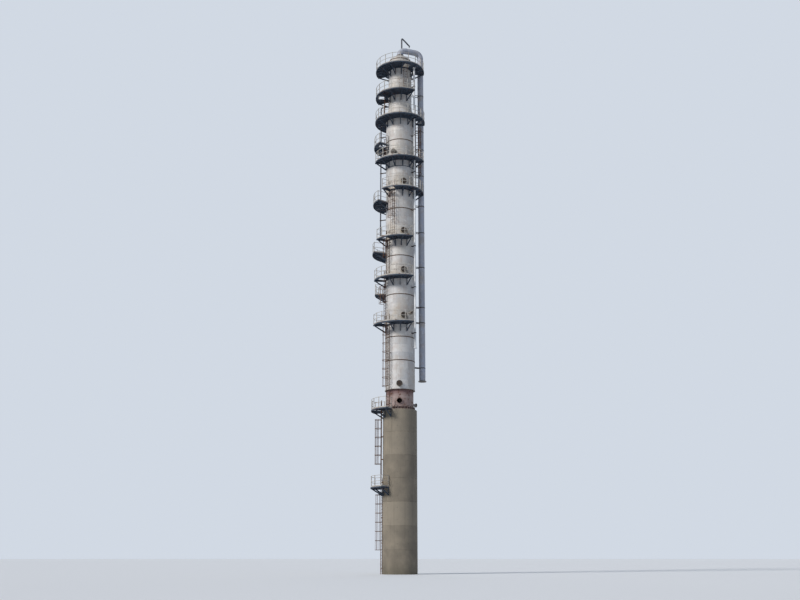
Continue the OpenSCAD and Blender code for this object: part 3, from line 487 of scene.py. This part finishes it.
def weathered_sheet(name, light, dark, warm, streaks=1.0):
    """Dull cladding sheet: every sheet has its own tone, rain leaves beige and grey runs,
    feet and drips soil it round the decks, a few seams rust, and it hardly shines."""
    made, shader, place = new_finish(name)
    base = tint(put(place.tree, "Attribute", {}, "Fac", attribute_name="tone"), light, dark)
    patch = cloud(place, 0.9, 5.0, 0.62)
    base = tint(spread(patch, 0.44, 0.68, 0.0, 0.55), base, warm)
    blotch = cloud(place, 3.4, 7.0, 0.68)
    base = tint(spread(blotch, 0.47, 0.66, 0.0, 0.42 * streaks), base, (166, 148, 136))
    faded = cloud(place, 5.2, 5.0, 0.6)
    base = tint(spread(faded, 0.56, 0.72, 0.0, 0.5 * streaks), base, (218, 214, 210))
    fine_runs = use(place, rain_runs, Narrow=17.0, Long=0.45, Cover=0.5, Soft=0.22)
    wide_runs = use(place, rain_runs, Narrow=5.0, Long=0.22, Cover=0.42, Soft=0.25)
    base = tint(fine_runs * (0.34 * streaks), base, (118, 112, 104))
    base = tint(wide_runs * (0.30 * streaks), base, (164, 150, 128))
    above = use(place, deck_grime)
    ragged = spread(cloud(place, 3.1, 7.0, 0.66), 0.36, 0.62)
    base = tint(ragged * above * (0.55 * streaks), base, (164, 149, 119))
    drips = use(place, rain_runs, Narrow=26.0, Long=0.4, Cover=0.38, Soft=0.14)
    base = tint(drips * above.beside("Below") * (0.62 * streaks), base, (124, 98, 74))
    rust = use(place, rain_runs, Narrow=21.0, Long=0.9, Cover=0.16, Soft=0.1)
    base = tint(rust * (0.55 * streaks), base, (112, 80, 58))
    spots = use(place, blooms, Scale=26.0, Cover=0.2, Soft=0.06)
    base = tint(spots * 0.5, base, (96, 84, 72))
    scratch = cloud(place, 140.0, 3.0, 0.6)
    dull = patch * 0.5 + (fine_runs * 0.3 + scratch * 0.3)
    height = cloud(place, 4.5, 2.0, 0.5) + scratch * 0.03 + spots.beside("Height") * 0.08
    feed(shader, {"Base Color": base, "Roughness": spread(dull, 0.3, 0.95, 0.58, 0.82),
                  "Metallic": 0.14, "Specular IOR Level": 0.3,
                  "Normal": bumped(height, 0.004, 0.6)})
    return made


def lap_screws(low, high, radius_low, radius_high, count):
    """Where a section's screws stand: a row under each bead, evenly round, and a row up each
    lap, a little past the sheet's edge. Gives their angles, heights and distances out."""
    rise, course = (high - low) / count, np.arange(count)
    ring_z = np.repeat(low + course * rise + screw_rise, ring_screws)
    up = np.array([0.10, 0.28, 0.40, 0.60, 0.74, 0.90])
    lap = (np.arange(sheet_count) + 0.5 * (course % 2)[:, None]) * (math.tau / sheet_count)
    lap_z = np.repeat(low + (course[:, None] + up) * rise, sheet_count, 0).ravel()
    angle = np.concatenate([np.tile(circle(ring_screws, 0.5), count),
                            np.repeat(lap.ravel() + screw_aside, len(up))])
    z = np.concatenate([ring_z, lap_z])
    proud = np.concatenate([np.full(len(ring_z), ring_screw_proud),
                            np.full(len(lap_z), lap_screw_proud)])
    straight = radius_low + (radius_high - radius_low) * (z - low) / (high - low)
    return angle, z, straight + proud


def lapped_skin(low, high, radius_low, radius_high):
    """A jacket section: its radius runs straight from foot to head, and over that each
    course adds its lap, bead and strap by height, each sheet adds a ramp that ends in a step
    at its lap, by angle, and each sheet bulges or sinks a little in its middle."""
    count = round((high - low) / course_height)
    rise = (high - low) / count
    middle = rise / 2
    steps = np.array([(0.0, 0.003), (0.012, 0.003), (0.017, 0.0062), (0.023, 0.0072),
                      (0.029, 0.0062), (0.034, 0.0018), (middle * 0.55, 0.0012),
                      (middle - 0.0062, 0.0010), (middle - 0.0056, 0.0026),
                      (middle + 0.0056, 0.0026), (middle + 0.0062, 0.0008),
                      (middle * 1.5, 0.0004), (rise - last_step, 0.0)])
    course = np.repeat(np.arange(count), len(steps))
    z = low + course * rise + np.tile(steps[:, 0], count)
    straight = radius_low + (radius_high - radius_low) * (z - low) / (high - low)
    share = math.tau / sheet_count
    seam = share * np.arange(2 * sheet_count) / 2
    edge = sheet_edge / jacket_radius
    inside = np.linspace(0, share / 2, 9)[1:-1]
    angle = (seam[:, None] + np.concatenate([[edge], inside, [share / 2 - edge]])).ravel()
    along = angle / share - 0.5 * (course % 2)[:, None]
    part = along - np.floor(along)
    sheet = np.floor(along).astype(int) % sheet_count
    bulge = (chance.random((count, sheet_count)) - 0.4) * sheet_bulge
    up = ((z - low) / rise) - course
    wave = bulge[course[:, None], sheet] * np.sin(math.pi * part)
    wave *= np.sin(math.pi * up)[:, None]
    skin = (straight[:, None] + np.tile(steps[:, 1], count)[:, None]
            + lap_height * (1 - part) + wave)
    inner = [polar(radius_high - wool_depth, angle, high - last_step),
             polar(radius_low - wool_depth, angle, low)]
    points = np.concatenate([polar(skin, angle, z[:, None]), np.stack(inner)])
    quads = grid(len(points), len(angle), round_rows=True)
    row = np.minimum(quads[:, 0] // len(angle), len(course) - 1)
    shades = chance.random((count + 1, sheet_count))
    tone = shades[course[row], sheet[row, quads[:, 0] % len(angle)]]
    return (points, [quads]), tone, lap_screws(low, high, radius_low, radius_high, count)


def head_skin():
    """The domed top: a 2:1 ellipse of radius and height over twelve gores, whose edges turn
    up into seams 6 mm high, open in the middle for the vapour nozzle."""
    rise, open_radius, gores, foot = 0.3600, 0.167, 12, head_foot + section_gap
    wool, seam_foot, seam_tip, seam_rise = 0.04, 0.0045, 0.0035, 0.006
    turn = np.linspace(0, np.arccos(open_radius / jacket_top_radius), 22)[:, None]
    gore = math.tau / gores
    offsets = np.concatenate([[-seam_foot, -seam_tip, seam_tip, seam_foot],
                              np.linspace(0.06, gore - 0.06, 6)])
    angle = (gore * np.arange(gores)[:, None] + offsets).ravel()
    lift = np.tile([0, seam_rise, seam_rise] + [0] * 7, gores)
    outer = polar(jacket_top_radius * np.cos(turn) + lift * np.cos(turn), angle,
                  foot + rise * np.sin(turn) + lift * np.sin(turn))
    inner = polar((jacket_top_radius - wool) * np.cos(turn[::-1]), angle,
                  foot + (rise - wool) * np.sin(turn[::-1]))
    points = np.concatenate([outer, inner])
    quads = grid(len(points), len(angle), round_rows=True)
    tone = chance.random(gores)[(quads[:, 0] % len(angle)) // len(offsets)]
    return (points, [quads]), tone


jacket_sheet = weathered_sheet("jacket_sheet", (198, 197, 196), (174, 174, 175),
                               (186, 178, 164))
spans = [(low, high, jacket_radius, jacket_radius)
         for low, high in zip(section_ends, section_ends[1:])]
spans += [(cone_foot, cone_head, jacket_radius, jacket_top_radius),
          (cone_head, head_foot, jacket_top_radius, jacket_top_radius)]
screw_places = []
for node, parts in (("jacket_lower", spans[:4]), ("jacket_middle", spans[4:7]),
                    ("jacket_upper", spans[7:])):
    made = [lapped_skin(low + section_gap, high - section_gap, *radii)
            for low, high, *radii in parts]
    screw_places += [part[2] for part in made]
    if node == "jacket_upper":
        made.append(head_skin())
    skin = make_piece(node + "_skin", joined([part[0] for part in made]), jacket_sheet,
                      tone=np.concatenate([part[1] for part in made]))
    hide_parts(node)

angle, z, radius = np.concatenate(screw_places, 1)
screw = turned([(0.0048, -0.003), (0.0048, 0.0012), (0.0034, 0.0016), (0.0034, 0.0038)], 6)
make_piece("jacket_screws", copies(screw, polar(radius, angle, z), outward(angle)),
           bolt_steel)

band_steel = worn_coat("band_steel", (104, 92, 80), (78, 70, 64), (96, 62, 42), 0.5, 9.0)
section_band = [(0.7700, -0.024), (0.7835, -0.024), (0.7850, -0.02), (0.7850, 0.02),
                (0.7835, 0.024), (0.7700, 0.024)]
foot_band = [(0.698, 9.118), (0.788, 9.118), (0.788, 9.130), (0.698, 9.130)]
head_band = [(0.6460, -0.022), (0.6600, -0.022), (0.6610, -0.016), (0.6610, 0.022),
             (0.6560, 0.026), (0.6460, 0.026)]
bands = [(section_band, height) for height in section_ends[1:]]
bands += [(foot_band, 0.0), (head_band, head_foot)]
make_piece("jacket_rings", joined([turned(np.add(band, [0, height]), 160, closed=True)
                                   for band, height in bands]), band_steel)


# Manways: short flanged necks through the jacket, each closed by a blind cover on twelve stud
# bolts, and the side nozzles beside them. A tapered collar of sheet sheds rain off each neck.

manway_places = [(9.4, 268), (13.03, 283), (15.53, 283), (17.73, 283), (20.58, 283),
                 (22.33, 246)]
nozzle_places = [(13.22, 317, 0.045), (10.025, 70, 0.11), (15.8, 100, 0.08), (20.75, 75, 0.08),
                 (23.725, 115, 0.055)]
manway_neck, cover_face, flange_back = 0.115, 0.9273, 0.885
stud_ring, stud_count, collar_sides = 0.136, 12, 40

# Each pipe beside the column: angle, distance out, radius, half its hole in a deck, and ends
Pipe = namedtuple("Pipe", "degree out radius half low high")
overhead = Pipe(20, 1.25, 0.1625, 0.213, 9.7, 29.1)
reflux = Pipe(325.5, 0.97, 0.05, 0.10, 11.3, 28.0)
riser = Pipe(159.5, 1.147, 0.035, 0.085, 17.65, 25.575)

coat(worn_coat("manway_paint", (58, 51, 44), (44, 40, 36), (84, 54, 36), 0.42, 9.0),
     "manway_necks", "manway_covers")
coat(worn_coat("fitting_coat", (98, 90, 84), (74, 68, 64), (98, 62, 42), 0.48, 9.0),
     "nozzles", "davit_socket")


def through_stud(radius, low, high, turns, nut_size, nut_height, grip):
    """A stud bolt along a flange's Z axis, with a nut on both faces, grip apart."""
    return joined([stud(radius, low, high, turns), hex_nut(nut_size, nut_height, 0.0005),
                   hex_nut(nut_size, nut_height, -grip - nut_height - 0.0005)])


heights, degrees = np.array(manway_places).T
grip, angle = cover_face - flange_back, np.radians(degrees)
cover_stud = through_stud(0.0060, -grip - 0.016, 0.019, 12, 0.0112, 0.010, grip)
cover_studs = copies(cover_stud, polar(stud_ring, circle(stud_count, 0.5), 0.0))
studs = copies(cover_studs, polar(cover_face, angle, heights), outward(angle))
make_piece("manway_studs", studs, bolt_steel)


def rain_collar(height, degree, neck):
    """A sheet collar round a neck: rings of growing size whose points stand off the jacket's
    round face, at a depth of the face's own curve plus a height that falls outwards."""
    radius = jacket_radius if height < cone_foot else jacket_top_radius
    turn = circle(collar_sides)
    size = np.array([0.001, 0.001, 0.012, 0.040, 0.055, 0.057, 0.057])[:, None] + neck
    stand = np.array([-0.004, 0.030, 0.026, 0.010, 0.0085, 0.004, -0.004])[:, None]
    across, up = size * np.cos(turn), size * np.sin(turn)
    flat = np.stack([across, up, np.sqrt(radius ** 2 - across ** 2) + stand], -1)
    return (flat @ outward(math.radians(degree))[0].T + np.array([0, 0, height]),
            [grid(len(size), collar_sides, round_rows=True)])


collars = [(height, degree, manway_neck) for height, degree in manway_places] + nozzle_places
collars += [(riser.low, riser.degree, riser.radius), (riser.high, riser.degree, riser.radius),
            (reflux.high, reflux.degree, reflux.radius)]
collar_sheet = weathered_sheet("collar_sheet", (172, 168, 160), (150, 146, 140),
                               (168, 152, 130))
make_piece("rain_collars", joined([rain_collar(*collar) for collar in collars]), collar_sheet,
           crease=40)


# Platforms: plate decks in part rings round the column, edged with channels and carried on
# triangular brackets that are bolted to lugs on the shell. Flat joists stiffen the plate.

# Each ladder: the two heights that it joins, and its angle. Its hatch is in the upper deck.
ladders = [(0.0, 4.2, 163), (4.2, 8.112, 190), (8.112, 12.6, 224), (12.6, 15.1, 203),
           (15.1, 17.3, 223), (17.3, 20.15, 243), (20.15, 24.425, 355), (21.9, 22.85, 201),
           (24.425, 25.95, 186), (25.95, 27.6, 294)]
cage_radius, hatch_out = 0.185, 0.068
joist_step, bracket_step, bracket_inset = 9.0, 32, 3
joist_start, joist_end, joist_back, joist_rim = 7.5, 5, 0.030, 0.008


def deck_finish(name):
    """Dark slate paint over tread plate: short raised bars in two crossed directions, worn
    and dusty on top where feet go, and rust that starts at the rims and runs below."""
    made, shader, place = new_finish(name)
    patch = cloud(place, 2.2, 5.0, 0.6)
    base = tint(patch, (46, 58, 72), (66, 77, 92))
    top = spread(split(put(place.tree, "NewGeometry", {}, "Normal"))[2], 0.5, 0.9)
    worn = spread(cloud(place, 5.0, 6.0, 0.65), 0.42, 0.62)
    base = tint(top * 0.8, base, tint(worn, (104, 98, 90), (132, 118, 102)))
    bloom = use(place, blooms, Scale=7.0, Cover=0.42, Soft=0.1)
    base = tint(bloom * 0.8, base, tint(patch, (106, 68, 46), (72, 48, 38)))
    x, y = split(place)[:2]
    bars = ((x + y) * 260).math("SINE") * ((x - y) * 260).math("SINE")
    tread = spread(bars.math("ABSOLUTE"), 0.45, 0.7) * top
    feed(shader, {"Base Color": base, "Roughness": spread(bloom + worn, 0.0, 1.4, 0.5, 0.88),
                  "Specular IOR Level": 0.3,
                  "Normal": bumped(tread + bloom.beside("Height") * 0.6, 0.0015)})
    return made


deck_paint = deck_finish("deck_paint")
coat(deck_paint, "landings", *[f"platform_{number}" for number in range(1, 13)])


def clear_of_openings(angle, deck, spare):
    """Which angles of a deck are clear of its hatch and of the pipes that pass it."""
    openings = [(degree, cage_radius, deck.wall + hatch_out) for _, top, degree in ladders
                if top == deck.z]
    openings += [(pipe.degree, pipe.half, pipe.out) for pipe in (overhead, reflux, riser)
                 if pipe.low < deck.z < pipe.high]
    kept = np.ones(len(angle), bool)
    for degree, half, out in openings:
        kept &= np.abs(angle - degree) > math.degrees(math.asin(half / out)) + spare
    return kept


def joists(deck):
    """Angle sections under a deck, one at each step: an L carried straight outwards."""
    angle = np.arange(deck.start + joist_start, deck.end - joist_end, joist_step)
    angle = np.radians(angle[clear_of_openings(angle, deck, 0.8)])
    section = np.array([(0, -0.0115), (0.004, -0.0115), (0.004, -0.048), (0.030, -0.048),
                        (0.030, -0.052), (0, -0.052)])
    points = np.stack([np.c_[np.full(6, along), section]
                       for along in (deck.wall + joist_back, deck.reach - joist_rim)])
    return copies((points, tube(2, 6)), polar(0.0, angle, deck.z), upright(angle))


def bracket_bolts(deck):
    """Two bolts through each bracket's back and two through its tip, where the brackets are."""
    count = math.ceil((deck.end - deck.start) / bracket_step)
    run = deck.end - deck.start - 2 * bracket_inset
    angle = deck.start + bracket_inset + run * np.arange(count + 1) / count
    angle = np.radians(angle[clear_of_openings(angle, deck, 0.0)])
    back, rim, side = deck.wall + 0.02, deck.reach - 0.05, -0.015
    places = np.array([(back, side, -0.12), (back, side, -0.36), (rim, side, -0.035),
                       (rim - 0.05, side, -0.035)])
    bolt = joined([hex_nut(0.012, 0.009), turned([(0.006, 0.008), (0.006, 0.015)], 8)])
    bolts = copies(bolt, places, np.array([[[1, 0, 0], [0, 0, -1], [0, 1, 0]]]))
    return copies(bolts, polar(0.0, angle, deck.z), upright(angle))


make_piece("deck_joists", joined(map(joists, decks)), deck_paint, crease=20)
make_piece("bracket_bolts", joined(map(bracket_bolts, decks)), bolt_steel)


# Handrails: posts of square tube with round top and middle rails and flat toe boards. Each
# post stands on a foot plate that two bolts hold to the deck, and its top has a cap.

rail_paint = worn_coat("rail_paint", (186, 182, 175), (152, 147, 140), (120, 84, 60), 0.40, 7.0)
coat(rail_paint, "rails_pedestal", "rails_lower", "rails_middle", "rails_upper")
post_width, post_height, post_step, deck_gap = 0.028, 0.564, 20, 0.025


def square_plate(half, low, high, corner):
    """A plate with cut corners: an eight-sided ring of points at its foot and its top."""
    ring = np.array([(half, corner), (corner, half), (-corner, half), (-half, corner),
                     (-half, -corner), (-corner, -half), (corner, -half), (half, -corner)])
    return np.stack([np.c_[ring, np.full(8, z)] for z in (low, high)]), tube(2, 8)


def post_feet(deck):
    """Foot plates and caps of a deck's outer posts, evenly spread at most a step apart, and
    of the two inner posts at its ends."""
    inset = math.degrees(math.asin(post_width / (deck.reach - post_width)))
    run = deck.end - deck.start - 2 * inset
    count = math.ceil(run / post_step)
    angle = np.radians(deck.start + inset + run * np.arange(count + 1) / count)
    posts = [(deck.reach - post_width, angle),
             (deck.wall + deck_gap + post_width, angle[[0, -1]])]
    return joined([copies(post_fittings, polar(out, turn, deck.z), upright(turn))
                   for out, turn in posts])


foot_bolt = turned([(0.0070, 0.006), (0.0070, 0.0115), (0.0040, 0.0115), (0.0040, 0.015)], 6)
foot_bolts = copies(foot_bolt, np.array([[0.0, 0.021, 0.0], [0.0, -0.021, 0.0]]))
post_fittings = joined([square_plate(0.027, 0.0004, 0.006, 0.021), foot_bolts,
                        square_plate(0.0165, post_height - 0.001, post_height + 0.004, 0.0135)])
make_piece("post_feet", joined(map(post_feet, decks)), rail_paint)


# Ladders: flat side bars with round rungs, held off the column by ties, inside a cage of
# hoops and upright straps. Rust has taken most of their paint, and bolts hold each hoop.

coat(worn_coat("ladder_coat", (120, 96, 76), (92, 76, 66), (96, 58, 36), 0.62, 6.0),
     "ladders_pedestal", "ladders_lower", "ladders_upper", "cages_pedestal", "cages_lower",
     "cages_upper")
hoop_start, hoop_step, hoop_half, hoop_gap = 1.15, 0.45, 0.0125, 0.1
ladder_off, ladder_half, lug_out, strap_proud = 0.1, 0.1125, 0.1263, 0.002
cage_offset = ladder_off + math.sqrt(cage_radius ** 2 - ladder_half ** 2)

hoop_bolt = turned([(0.0062, -0.001), (0.0062, 0.0032), (0.0030, 0.0045)], 6)
straps, sides = np.radians(np.arange(-80, 81, 40)), np.array([-1, 1])
hoop_bolts = []
for low, high, degree in ladders:
    hoops = math.floor((high - hoop_gap - low - hoop_start) / hoop_step)
    if hoops > 0:
        level = low + hoop_start + hoop_step * np.arange(hoops + 1) + hoop_half
        middle = [wall_at(low) + cage_offset, 0, 0]
        on_straps = polar(cage_radius + strap_proud, straps, 0.0) + middle
        on_lugs = np.c_[[wall_at(low) + ladder_off] * 2, sides * lug_out, [0, 0]]
        bolts = joined([copies(hoop_bolt, on_straps, outward(straps)),
                        copies(hoop_bolt, on_lugs, outward(sides * math.pi / 2))])
        hoop_bolts.append(copies(copies(bolts, polar(0.0, 0.0, level)), np.zeros((1, 3)),
                                 upright(math.radians(degree))))
make_piece("hoop_bolts", joined(hoop_bolts), bolt_steel)


# Overhead line: the wide vapour pipe from the top head, over to the right and down beside
# the column, wrapped in lapped sheet with mitred segments round its bends. Twenty studs and
# a gasket join it to the head's nozzle.

line_angle, sheet_sides, lap_step, mitres = math.radians(overhead.degree), 56, 0.5, 10
bend_radius, line_top, bend_foot = 0.325, 29.0625, 28.7375
flange_low, flange_high, flange_studs, stud_out = 28.6225, 28.6825, 20, 0.1925
sheet_foot, sheet_gap, inner_gap = overhead.low + 0.06, 0.0022, 0.0006
plain_rise, lap_rise, mitre_rise, mitre_half = 0.0012, 0.0038, 0.0052, 0.014

pipe_sheet = weathered_sheet("pipe_sheet", (168, 174, 188), (148, 154, 168), (160, 160, 162),
                             streaks=0.85)
line_steel = worn_coat("line_steel", (132, 128, 124), (104, 100, 98), (110, 74, 54), 0.4, 7.0)
coat(line_steel, "overhead_line", "bottoms_line")


def line_stations():
    """Stations of the wrapped pipe in its upright plane: distance out, height, direction and
    how far the sheet stands proud. Straight runs lap at each step, and each bend has mitred
    segments with a bead where two of them meet."""
    lap = np.array([(0.0, 0.0040), (0.016, 0.0040), (0.020, 0.0068), (0.026, 0.0068),
                    (0.030, 0.0020)])
    stations = []

    def straight(start, end, direction):
        length = math.dist(start, end)
        count = round(length / lap_step)
        along = (np.arange(count)[:, None] * length / count + lap[:, 0]).ravel()
        along = np.append(along, length - last_step)
        stations.append([start[0] + (end[0] - start[0]) * along / length,
                         start[1] + (end[1] - start[1]) * along / length,
                         np.full(len(along), direction),
                         np.append(np.tile(lap[:, 1], count), plain_rise)])

    def bend(centre, start, end):
        turn = np.linspace(start, end, mitres)[:, None]
        turn = (turn + np.array([-mitre_half, 0.0, mitre_half])).ravel()[1:-1]
        stations.append([centre + bend_radius * np.cos(turn),
                         bend_foot + bend_radius * np.sin(turn), turn - math.pi / 2,
                         np.tile([plain_rise, mitre_rise, plain_rise], mitres)[1:-1]])

    far = overhead.out - bend_radius
    bend(bend_radius, math.pi, math.pi / 2)
    straight((bend_radius, line_top), (far, line_top), 0.0)
    bend(far, math.pi / 2, 0.0)
    straight((overhead.out, bend_foot), (overhead.out, sheet_foot), -math.pi / 2)
    return np.concatenate(stations, 1)


def wrapped_line():
    """Rings of the pipe's radius plus the sheet's laps at each station, square to its
    direction, and the same rings a hair outside the bare pipe as the sheet's inner face."""
    out, z, lean, raised = line_stations()
    turn = circle(sheet_sides)[:, None]
    along, side, up = upright(line_angle)[0].T
    centre = (out[:, None] * along + z[:, None] * up)[:, None]
    square = -np.sin(lean)[:, None] * along + np.cos(lean)[:, None] * up
    ring = square[:, None] * np.cos(turn) - side * np.sin(turn)
    outer = centre + ring * (overhead.radius + sheet_gap + raised)[:, None, None]
    points = np.concatenate([outer, (centre + ring * (overhead.radius + inner_gap))[::-1]])
    quads = grid(len(points), sheet_sides, round_rows=True)
    station = np.minimum(quads[:, 0] // sheet_sides, len(out) - 1)
    course = np.cumsum(raised > lap_rise)[station]
    return (points, [quads]), chance.random(course.max() + 1)[course]


shape, tone = wrapped_line()
make_piece("overhead_sheet", shape, pipe_sheet, crease=12, tone=tone)

big_stud = through_stud(0.0085, -0.088, 0.028, 22, 0.0158, 0.016, flange_high - flange_low)
turn, joint = circle(flange_studs, 0.5) + line_angle, (flange_low + flange_high) / 2
gasket = turned([(0.2170, joint - 0.002), (0.2186, joint - 0.002), (0.2186, joint + 0.002),
                 (0.2170, joint + 0.002)], 96, closed=True)
studs = copies(big_stud, polar(stud_out, turn, flange_high), upright(turn))
make_piece("overhead_studs", joined([studs, gasket]), bolt_steel)


# Reflux line and riser: plain pipes down the front right and up the left, light and dark,
# welded from lengths. Both pass through rings on arms that leave them free to slide.

reflux_coat = worn_coat("reflux_coat", (222, 224, 226), (196, 198, 200), (140, 110, 84),
                        0.3, 6.0)
riser_coat = worn_coat("riser_coat", (88, 92, 102), (70, 74, 84), (92, 62, 46), 0.36, 8.0)
guide_coat = worn_coat("guide_coat", (78, 76, 76), (60, 60, 62), (94, 60, 42), 0.46, 10.0)
coat(reflux_coat, "reflux_line")
coat(riser_coat, "riser_line")
coat(guide_coat, "pipe_guides")
guide_half, weld_step = 0.025, 1.5
arm_share, arm_least, ear_out, ear_nut = 0.6, 0.034, 0.018, 0.009
guides = [(pipe, z) for pipe, heights in (
    (overhead, (10.4, 12.85, 13.7, 15.95, 17.95, 19.5, 21.3, 22.9, 24.0, 26.25)),
    (reflux, (26.4, 12.1, 14.6, 16.9, 19.0, 21.2, 23.4)),
    (riser, (18.7, 21.5, 23.7))) for z in heights]


def pipe_welds(pipe, low, high):
    """Ring welds on an upright pipe, one at each step: thin tori on the pipe's radius."""
    z = np.arange(low, high, weld_step)
    bead = np.array([(-0.002, -0.004), (0.0022, -0.0022), (0.0030, 0.0), (0.0022, 0.0022),
                     (-0.002, 0.004)]) + [pipe.radius, 0]
    angle = np.full(len(z), math.radians(pipe.degree))
    return copies(turned(bead, 24, closed=True), polar(pipe.out, angle, z), upright(angle))


def guide_fittings(pipe, z):
    """A guide's wall plates with cut corners, one behind each arm, and a bolt on each side
    of its ring: ears a little proud of the ring, with a nut outside."""
    wall, angle = wall_at(z), np.radians([pipe.degree])
    turn = angle + sides * math.asin(max(pipe.radius * arm_share, arm_least) / wall)
    plates = copies(square_plate(0.030, 0.0, 0.006, 0.024),
                    polar(wall - 0.001, turn, z + guide_half), outward(turn))
    across = sides[:, None] * [pipe.radius + ear_out, 0, 0]
    nuts = copies(hex_nut(0.011, ear_nut), across + [0, guide_half, pipe.out - ear_nut / 2])
    ears = joined([nuts, copies(square_plate(0.011, -0.006, 0.0, 0.009),
                                across + [0, guide_half, pipe.out])])
    return joined([plates, copies(ears, polar(0.0, angle, z), outward(angle))])


make_piece("reflux_welds", pipe_welds(reflux, 11.9, 27.7), reflux_coat,
           crease=60)
make_piece("riser_welds", pipe_welds(riser, 18.2, 25.4), riser_coat, crease=60)
make_piece("guide_fittings", joined([guide_fittings(*guide) for guide in guides]), guide_coat)


# Davit: a bent tube that lifts covers and fittings to the top deck. Its mast turns in a foot
# cup and two rings, and a shackle hangs from the lug under the tip of its arm.

coat(worn_coat("davit_coat", (74, 78, 86), (58, 62, 70), (96, 62, 44), 0.42, 9.0), "davit_mast")
davit_angle, davit_turn = math.radians(83), math.radians(63)
mast_out, shackle_out, shackle_z = 0.82, 1.0, 30.265


def bow(half, drop, radius):
    """A shackle's bow: a rod along half a circle with straight legs, hanging in the X-Z
    plane, as rings of points square to that path."""
    turn, leg_top, rod_sides = np.linspace(0, -math.pi, 17), 0.010, 8
    round_part = half * np.c_[np.cos(turn), np.sin(turn)] + [0, -drop]
    path = np.concatenate([[[half, leg_top]], round_part, [[-half, leg_top]]])
    step = np.gradient(path, axis=0)
    step /= np.linalg.norm(step, axis=1)[:, None]
    ring, level = circle(rod_sides)[:, None], np.zeros(len(path))
    square = np.stack([step[:, 1], level, -step[:, 0]], -1)[:, None]
    centre = np.stack([path[:, 0], level, path[:, 1]], -1)[:, None]
    points = centre + radius * (square * np.cos(ring) + np.array([0, 1.0, 0]) * np.sin(ring))
    return points, tube(len(path), rod_sides)


sideways = np.array([[[0.0, 0.0, 1.0], [0.0, 1.0, 0.0], [-1.0, 0.0, 0.0]]])
pin = joined([hex_nut(0.011, 0.010, 0.018), turned([(0.006, -0.026), (0.006, 0.030)], 10)])
shackle = joined([bow(0.018, 0.030, 0.0055), copies(pin, np.zeros((1, 3)), sideways)])
tip = polar(mast_out, davit_angle, 0.0) + polar(shackle_out, davit_turn, shackle_z)
make_piece("davit_shackle", copies(shackle, tip[None], upright(davit_turn + math.pi / 2)),
           bolt_steel, body="davit")


# Stage, light and camera: a plain pale floor and backdrop, a soft key light from the front
# left with weak fills from the right and behind, and the photo's low viewpoint, nearly fifty
# metres away and under a metre high.

stage_radius, stage_sides = 500.0, 128
view_distance, eye_height, look_up = 47.5, 0.8, 15.6
pale_floor = bpy.data.materials.new("pale_floor")
pale_floor.use_nodes = True
feed(pale_floor.node_tree.nodes["Principled BSDF"],
     {"Base Color": swatch(214, 216, 218), "Roughness": 0.9})
floor_mesh = bpy.data.meshes.new("floor")
floor_mesh.from_pydata(polar(stage_radius, circle(stage_sides), 0.0).tolist(), [],
                       [tuple(range(stage_sides))])
floor = bpy.data.objects.new("floor", floor_mesh)
bpy.context.scene.collection.objects.link(floor)
floor_mesh.materials.append(pale_floor)

world = bpy.data.worlds.new("studio")
world.use_nodes = True
bpy.context.scene.world = world
tree = world.node_tree
seen = put(tree, "LightPath", {}, "Is Camera Ray")
share = seen.math("MAXIMUM", seen.beside("Is Glossy Ray") * 0.6)
backdrop = put(tree, "Background", {"Color": swatch(214, 222, 233), "Strength": 0.95})
fill = tree.nodes["Background"]
feed(fill, {"Color": swatch(176, 196, 226), "Strength": 0.37})
feed(tree.nodes["World Output"],
     {"Surface": put(tree, "MixShader", {0: share, 1: Wire(fill), 2: backdrop})})


def soft_sun(name, azimuth, height, strength, width, colour):
    """A far lamp at an angle left of the camera's view and a height above the ground."""
    lamp = bpy.data.lights.new(name, "SUN")
    lamp.energy, lamp.angle, lamp.color = strength, math.radians(width), colour
    made = bpy.data.objects.new(name, lamp)
    made.rotation_euler = (math.radians(90 - height), 0.0, math.radians(azimuth))
    bpy.context.scene.collection.objects.link(made)


soft_sun("key_light", -52, 34, 3.15, 14, (1.0, 0.965, 0.92))
soft_sun("fill_light", 40, 25, 0.25, 60, (0.85, 0.92, 1.0))
soft_sun("back_light", 170, 30, 0.6, 60, (0.94, 0.97, 1.0))

camera_data = bpy.data.cameras.new("camera")
camera_data.lens, camera_data.sensor_width = 41.5, 36.0
camera_data.clip_start, camera_data.clip_end = 0.5, 1500.0
camera = bpy.data.objects.new("camera", camera_data)
camera.location = (0.0, -view_distance, eye_height)
camera.rotation_euler = (math.radians(90 + look_up), 0.0, 0.0)
bpy.context.scene.collection.objects.link(camera)
bpy.context.scene.camera = camera
bpy.context.scene.view_settings.view_transform = "Standard"
